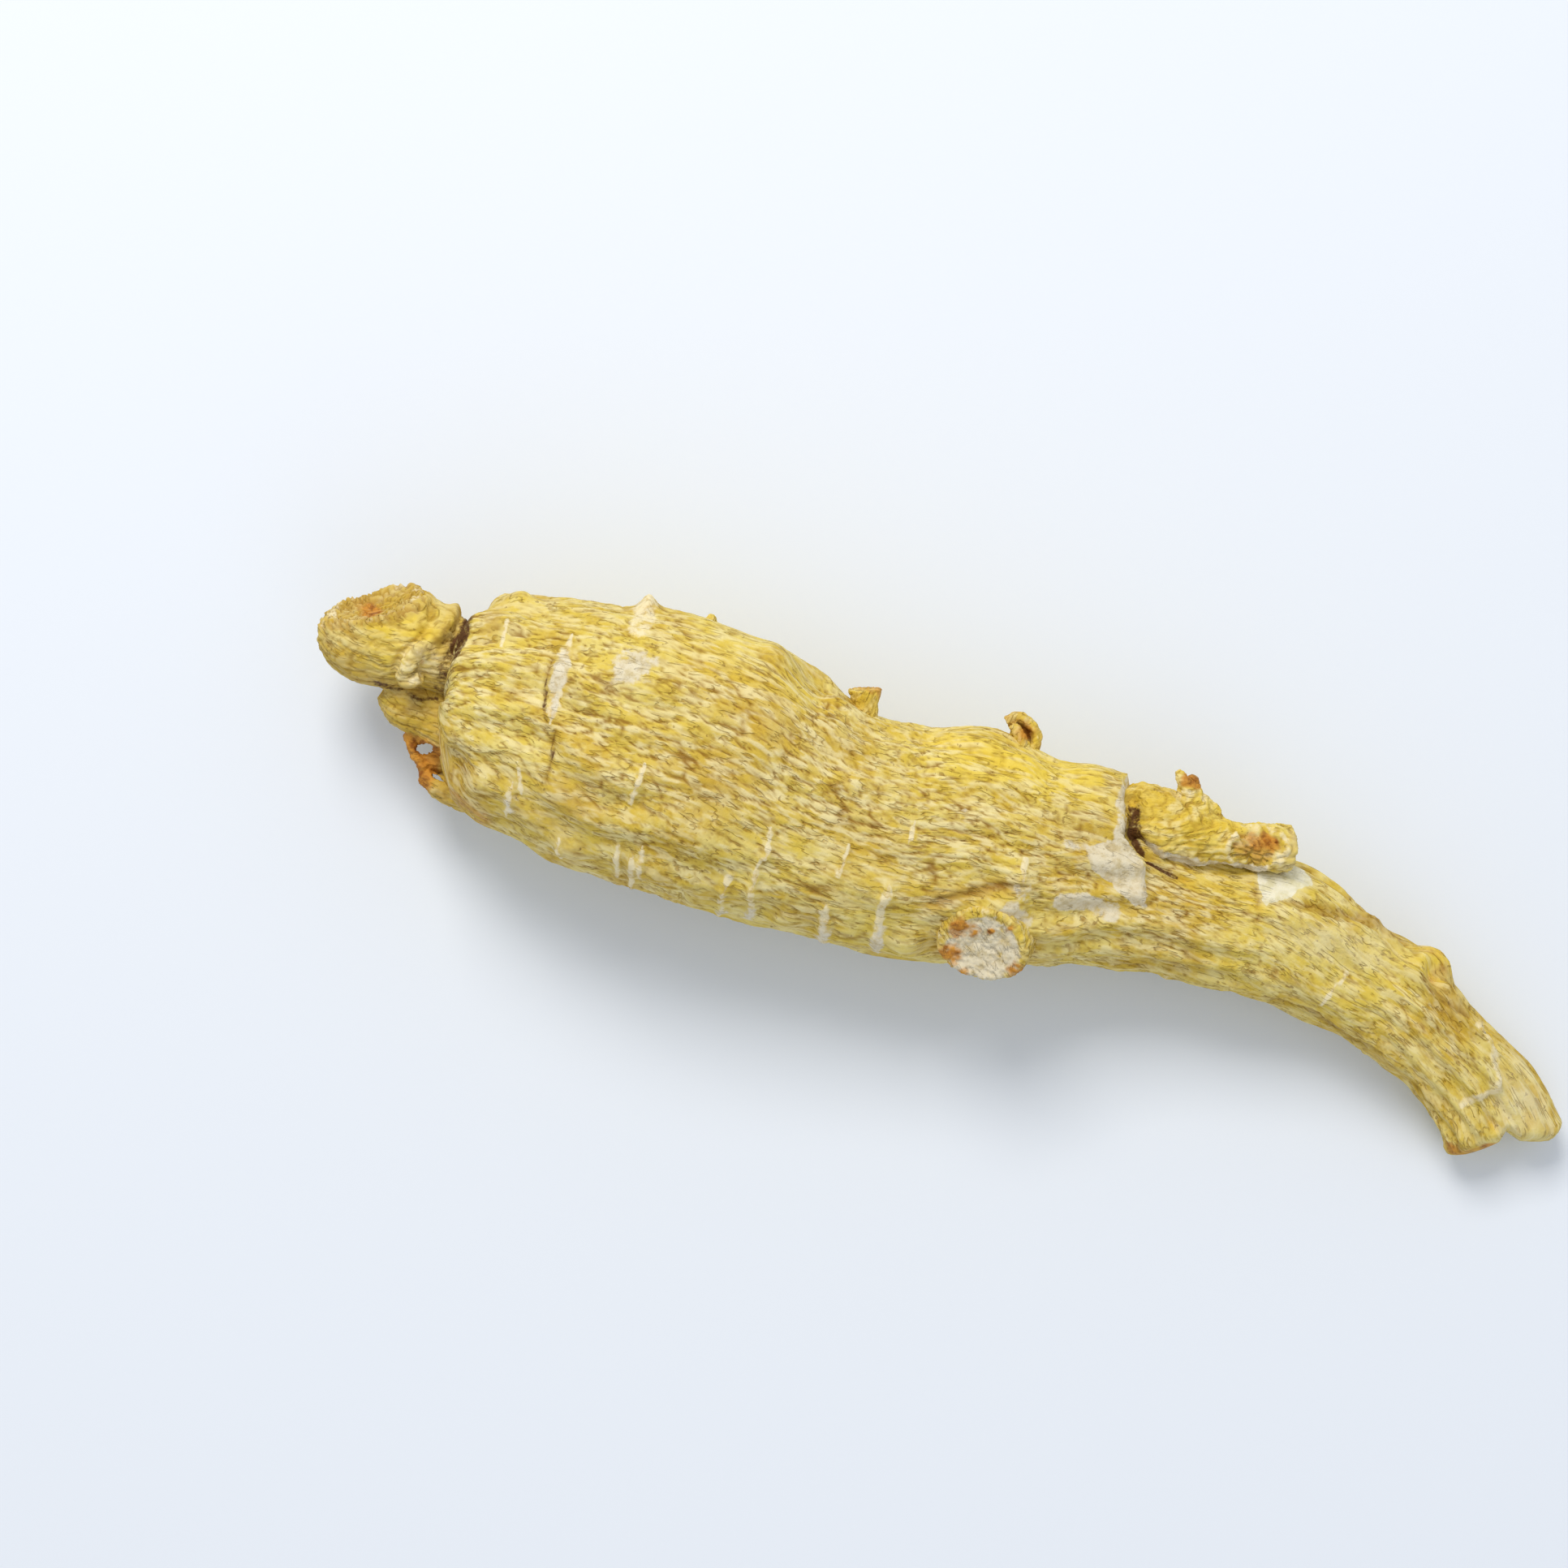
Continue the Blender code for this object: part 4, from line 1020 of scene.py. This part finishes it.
def make_side_root(material):
    tubes = [
        tube("side_root", SIDE_ROOT, 36, 30),
        tube("spur", SPUR, 16, 14),
        tube("spur_side", SPUR_SIDE, 16, 14),
    ]
    piece = grown_together("ginseng_side_root", tubes, voxel=0.12, rounds=2)
    places, normals = read_piece(piece)
    x, y, z = places.T
    axis = (0.93, 0.37, 0.0)
    puff, deep = fibres(places, axis, 2.2, 0.75, 51)
    rough = waves(places, 0.5, 53) + 0.6 * waves(places, 0.25, 54)
    pits = np.clip(np.abs(waves(places, (0.9, 0.5, 0.6), 56)) / 0.25, 0, 1)
    lumps = waves(places, 2.0, 57)
    ragged = 0.35 * waves(places, 0.8, 55)
    face = soft((oval(x + ragged, y - ragged, *BROKEN_FACE) - 0.28) / 0.25) * (normals[:, 2] > -0.1)
    rim = soft((oval(x, y, *BROKEN_RIM) - 0.25) / 0.2) * (1 - face)
    height = 0.24 * (puff - 0.6) * (1 - face) + 0.10 * rough + 0.30 * lumps + 0.18 * rim
    height -= face * (0.42 - 0.38 * pits)
    place = places + normals * height[:, None]
    gap, share = off_line(x, y, GAP)
    in_gap = bell(gap, np.interp(share, (0, 1), GAP_HALF_WIDTHS)) * (normals[:, 2] > 0)
    place[:, 2] -= SIDE_GAP_DEPTH * in_gap
    place_vertices(piece, place)

    spur = soft((y - 0.37 * (x - 64) - 11.6) / 0.8) * soft((x - 63.4) / 0.8) * (x < 68.2)
    tip = soft((y - 0.2 * (x - 64) - 13.0) / 0.5) * spur
    low = off_line(x, y, ((63.0, 8.1), (65.3, 7.8), (68.0, 8.4), (70.6, 9.4), (71.8, 10.0)))[0]
    flap = soft(1.5 - low / 0.55) * soft(z / 2 - 3)
    ember = bell(x - 71.7, 0.8) * bell(y - 12.0, 0.6)
    masks = {
        # painted shade: darker in the creases, over their own ochre
        "crease_ochre_and_shade": deep * 0.55 * (1 - face),
        "puff": puff * 0.8,
        "pale": 0.7 * rim * (lumps > -0.2) + 0.55 * spur * (1 - tip),
        "cork": 0.72 * flap * (1 - face),
        "rust": 0.60 * tip + face * (0.42 + 0.35 * ember),
        "stain_and_shade": 0.3 * soft((66.0 - x) / 3.0) + 0.9 * face,
        "dirt": seen(x, y, "dirt") * 0.9 + 0.62 * face * (1 - pits),
        "bare": 0.45 * soft((x - 72.6) / 0.6),
        "lemon": 0.45 * (1 - face) * (1 - flap),
    }
    return finish_grown(piece, places, axis, masks, material)


def make_knob(material):
    piece = grown_together("ginseng_knob", [tube("knob", KNOB, 24, 30)], voxel=0.12, rounds=3)
    places, normals = read_piece(piece)
    x, y, _ = places.T
    axis = (0.6, -0.8, 0.0)
    puff, deep = fibres(places, axis, 1.5, 0.45, 61)
    rough = waves(places, 0.5, 63) + 0.6 * waves(places, 0.25, 64)
    off = np.hypot((x - KNOB_FACE_AT[0]) * 0.85, y - KNOB_FACE_AT[1]) + 0.35 * waves(places, 0.9, 65)
    face = soft(KNOB_FACE_RADIUS - off) * (normals[:, 2] > 0.0)
    height = 0.18 * (puff - 0.6) + 0.08 * rough + 0.22 * bell(off - 2.5, 0.45) - 0.30 * soft(1 - off / 2.0)
    place_vertices(piece, places + normals * height[:, None])
    spots = np.zeros(x.shape)
    for spot_x, spot_y, radius in KNOB_SPOTS:
        spots = np.maximum(spots, bell(np.hypot(x - spot_x, y - spot_y), radius))
    masks = {
        # painted shade: darker in the creases, over their own ochre
        "crease_ochre_and_shade": deep * 0.6,
        "puff": puff * 0.6,
        "pale": 0.5 * (1 - face),
        "cork": 0.72 * face,
        "rust": 0.72 * spots * (1 + 0.5 * rough),
        "stain_and_shade": 0.3 * (1 - face),
        "dirt": 0.45 * deep * face,
        "bare": 0.0,
        "lemon": 0.2 * (1 - face),
    }
    return finish_grown(piece, places, axis, masks, material)


def make_rootlet(material, name, tables, tip, rust, pale):
    """One broken rootlet. Past the tip's y it is torn, in a rusty or a pale tone."""
    tubes = [tube(f"{name}_{k}", table, 26, 16) for k, table in enumerate(tables)]
    piece = grown_together(name, tubes, voxel=0.11, rounds=2)
    places, normals = read_piece(piece)
    x, y, _ = places.T
    axis = (0.1, 1.0, 0.1)
    puff, deep = fibres(places, axis, 1.6, 0.5, len(name) + 70)
    rough = waves(places, 0.5, 81) + 0.5 * waves(places, 0.25, 82)
    torn = soft((y - tip + 0.4 * rough) / 0.6)
    hollow = torn * (normals[:, 1] > 0.3) * (rust > 0.5)
    height = 0.13 * (puff - 0.6) + 0.05 * rough * (1 + pale) - 0.35 * hollow
    place_vertices(piece, places + normals * height[:, None])
    curl = bell(x - 51.9, 0.5) * bell(y - 12.7, 0.5)
    masks = {
        # painted shade: darker in the creases, over their own ochre
        "crease_ochre_and_shade": deep * 0.45,
        "puff": puff * 0.7,
        "pale": pale * (0.6 + 0.4 * rough) * torn,
        "cork": 0.0,
        "rust": rust * torn + 0.8 * pale * curl,
        "stain_and_shade": 0.15,
        "dirt": 0.4 * soft((tip - 1.6 - y) / 0.6),
        "bare": 0.0,
        "lemon": 0.4,
    }
    return finish_grown(piece, places, axis, masks, material)


# Surface, light and camera

# The picture's width in millimetres at the root: its pixels over pixels to a millimetre.
PICTURE_WIDTH = 1932 / 16.5
TURN = math.radians(21.8)
LENS, SENSOR = 100.0, 36.0
# Where the picture's middle falls, in the tables' millimetres.
PICTURE_MIDDLE = np.array((36.6, 2.5, 9.0))
# The surface lies this far under the root, in metres, so that the two don't share a plane.
SURFACE_GAP = 0.00005
SKY_STRENGTH = 0.61

RIGHT = Vector((math.cos(TURN), math.sin(TURN), 0.0))
UP = Vector((-math.sin(TURN), math.cos(TURN), 0.0))
OUT = Vector((0.0, 0.0, 1.0))
LIT_POINT = Vector((0.0, 0.0, 0.005))


def make_surface():
    bpy.ops.mesh.primitive_plane_add(size=4.0, location=(0.0, 0.0, -SURFACE_GAP))
    surface = bpy.context.object
    surface.name = "surface"
    surface.data.materials.append(table_top())


def add_light(name, right, up, out, size, power, tone):
    """A square soft light, placed in the picture's own directions in metres and looking at the root."""
    at = RIGHT * right + UP * up + OUT * out
    bpy.ops.object.light_add(type="AREA", location=at)
    lamp = bpy.context.object
    lamp.name = name
    lamp.data.size = size
    lamp.data.energy = power
    lamp.data.color = colour(tone)[:3]
    lamp.rotation_euler = (LIT_POINT - at).to_track_quat("-Z", "Y").to_euler()


def make_light():
    add_light("window", right=-0.10, up=0.35, out=0.45, size=0.24, power=2.0, tone="#fffaf2")
    add_light("bounce", right=0.20, up=-0.45, out=0.45, size=0.50, power=0.3, tone="#f1f6ff")
    world = bpy.data.worlds.new("studio")
    bpy.context.scene.world = world
    world.use_nodes = True
    sky = world.node_tree.nodes["Background"]
    sky.inputs["Color"].default_value = colour("#f4f8ff")
    sky.inputs["Strength"].default_value = SKY_STRENGTH


def make_camera():
    bpy.ops.object.camera_add()
    camera = bpy.context.object
    camera.name = "camera"
    camera.data.lens = LENS
    camera.data.sensor_width = SENSOR
    middle = Vector(PICTURE_MIDDLE - ORIGIN)
    camera.rotation_euler = Matrix((RIGHT, UP, OUT)).transposed().to_euler()
    camera.location = (middle + OUT * (PICTURE_WIDTH * LENS / SENSOR)) * MM
    camera.data.clip_start, camera.data.clip_end = 0.01, 10.0
    bpy.context.scene.camera = camera


def main():
    bpy.context.scene.view_settings.view_transform = "Standard"
    make_camera()
    make_surface()
    make_light()
    skin = root_skin()
    body = make_body(skin)
    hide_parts("ginseng_root")
    make_crown(skin)
    make_side_root(skin)
    make_knob(skin)
    make_rootlet(skin, "ginseng_torn_rootlet", TORN_ROOTLET, tip=10.7, rust=0.50, pale=0.0)
    make_rootlet(skin, "ginseng_curled_rootlet", CURLED_ROOTLET, tip=11.6, rust=0.36, pale=0.60)
    make_rootlet(skin, "ginseng_pointed_rootlet", POINTED_ROOTLET, tip=11.9, rust=0.3, pale=0.3)


main()
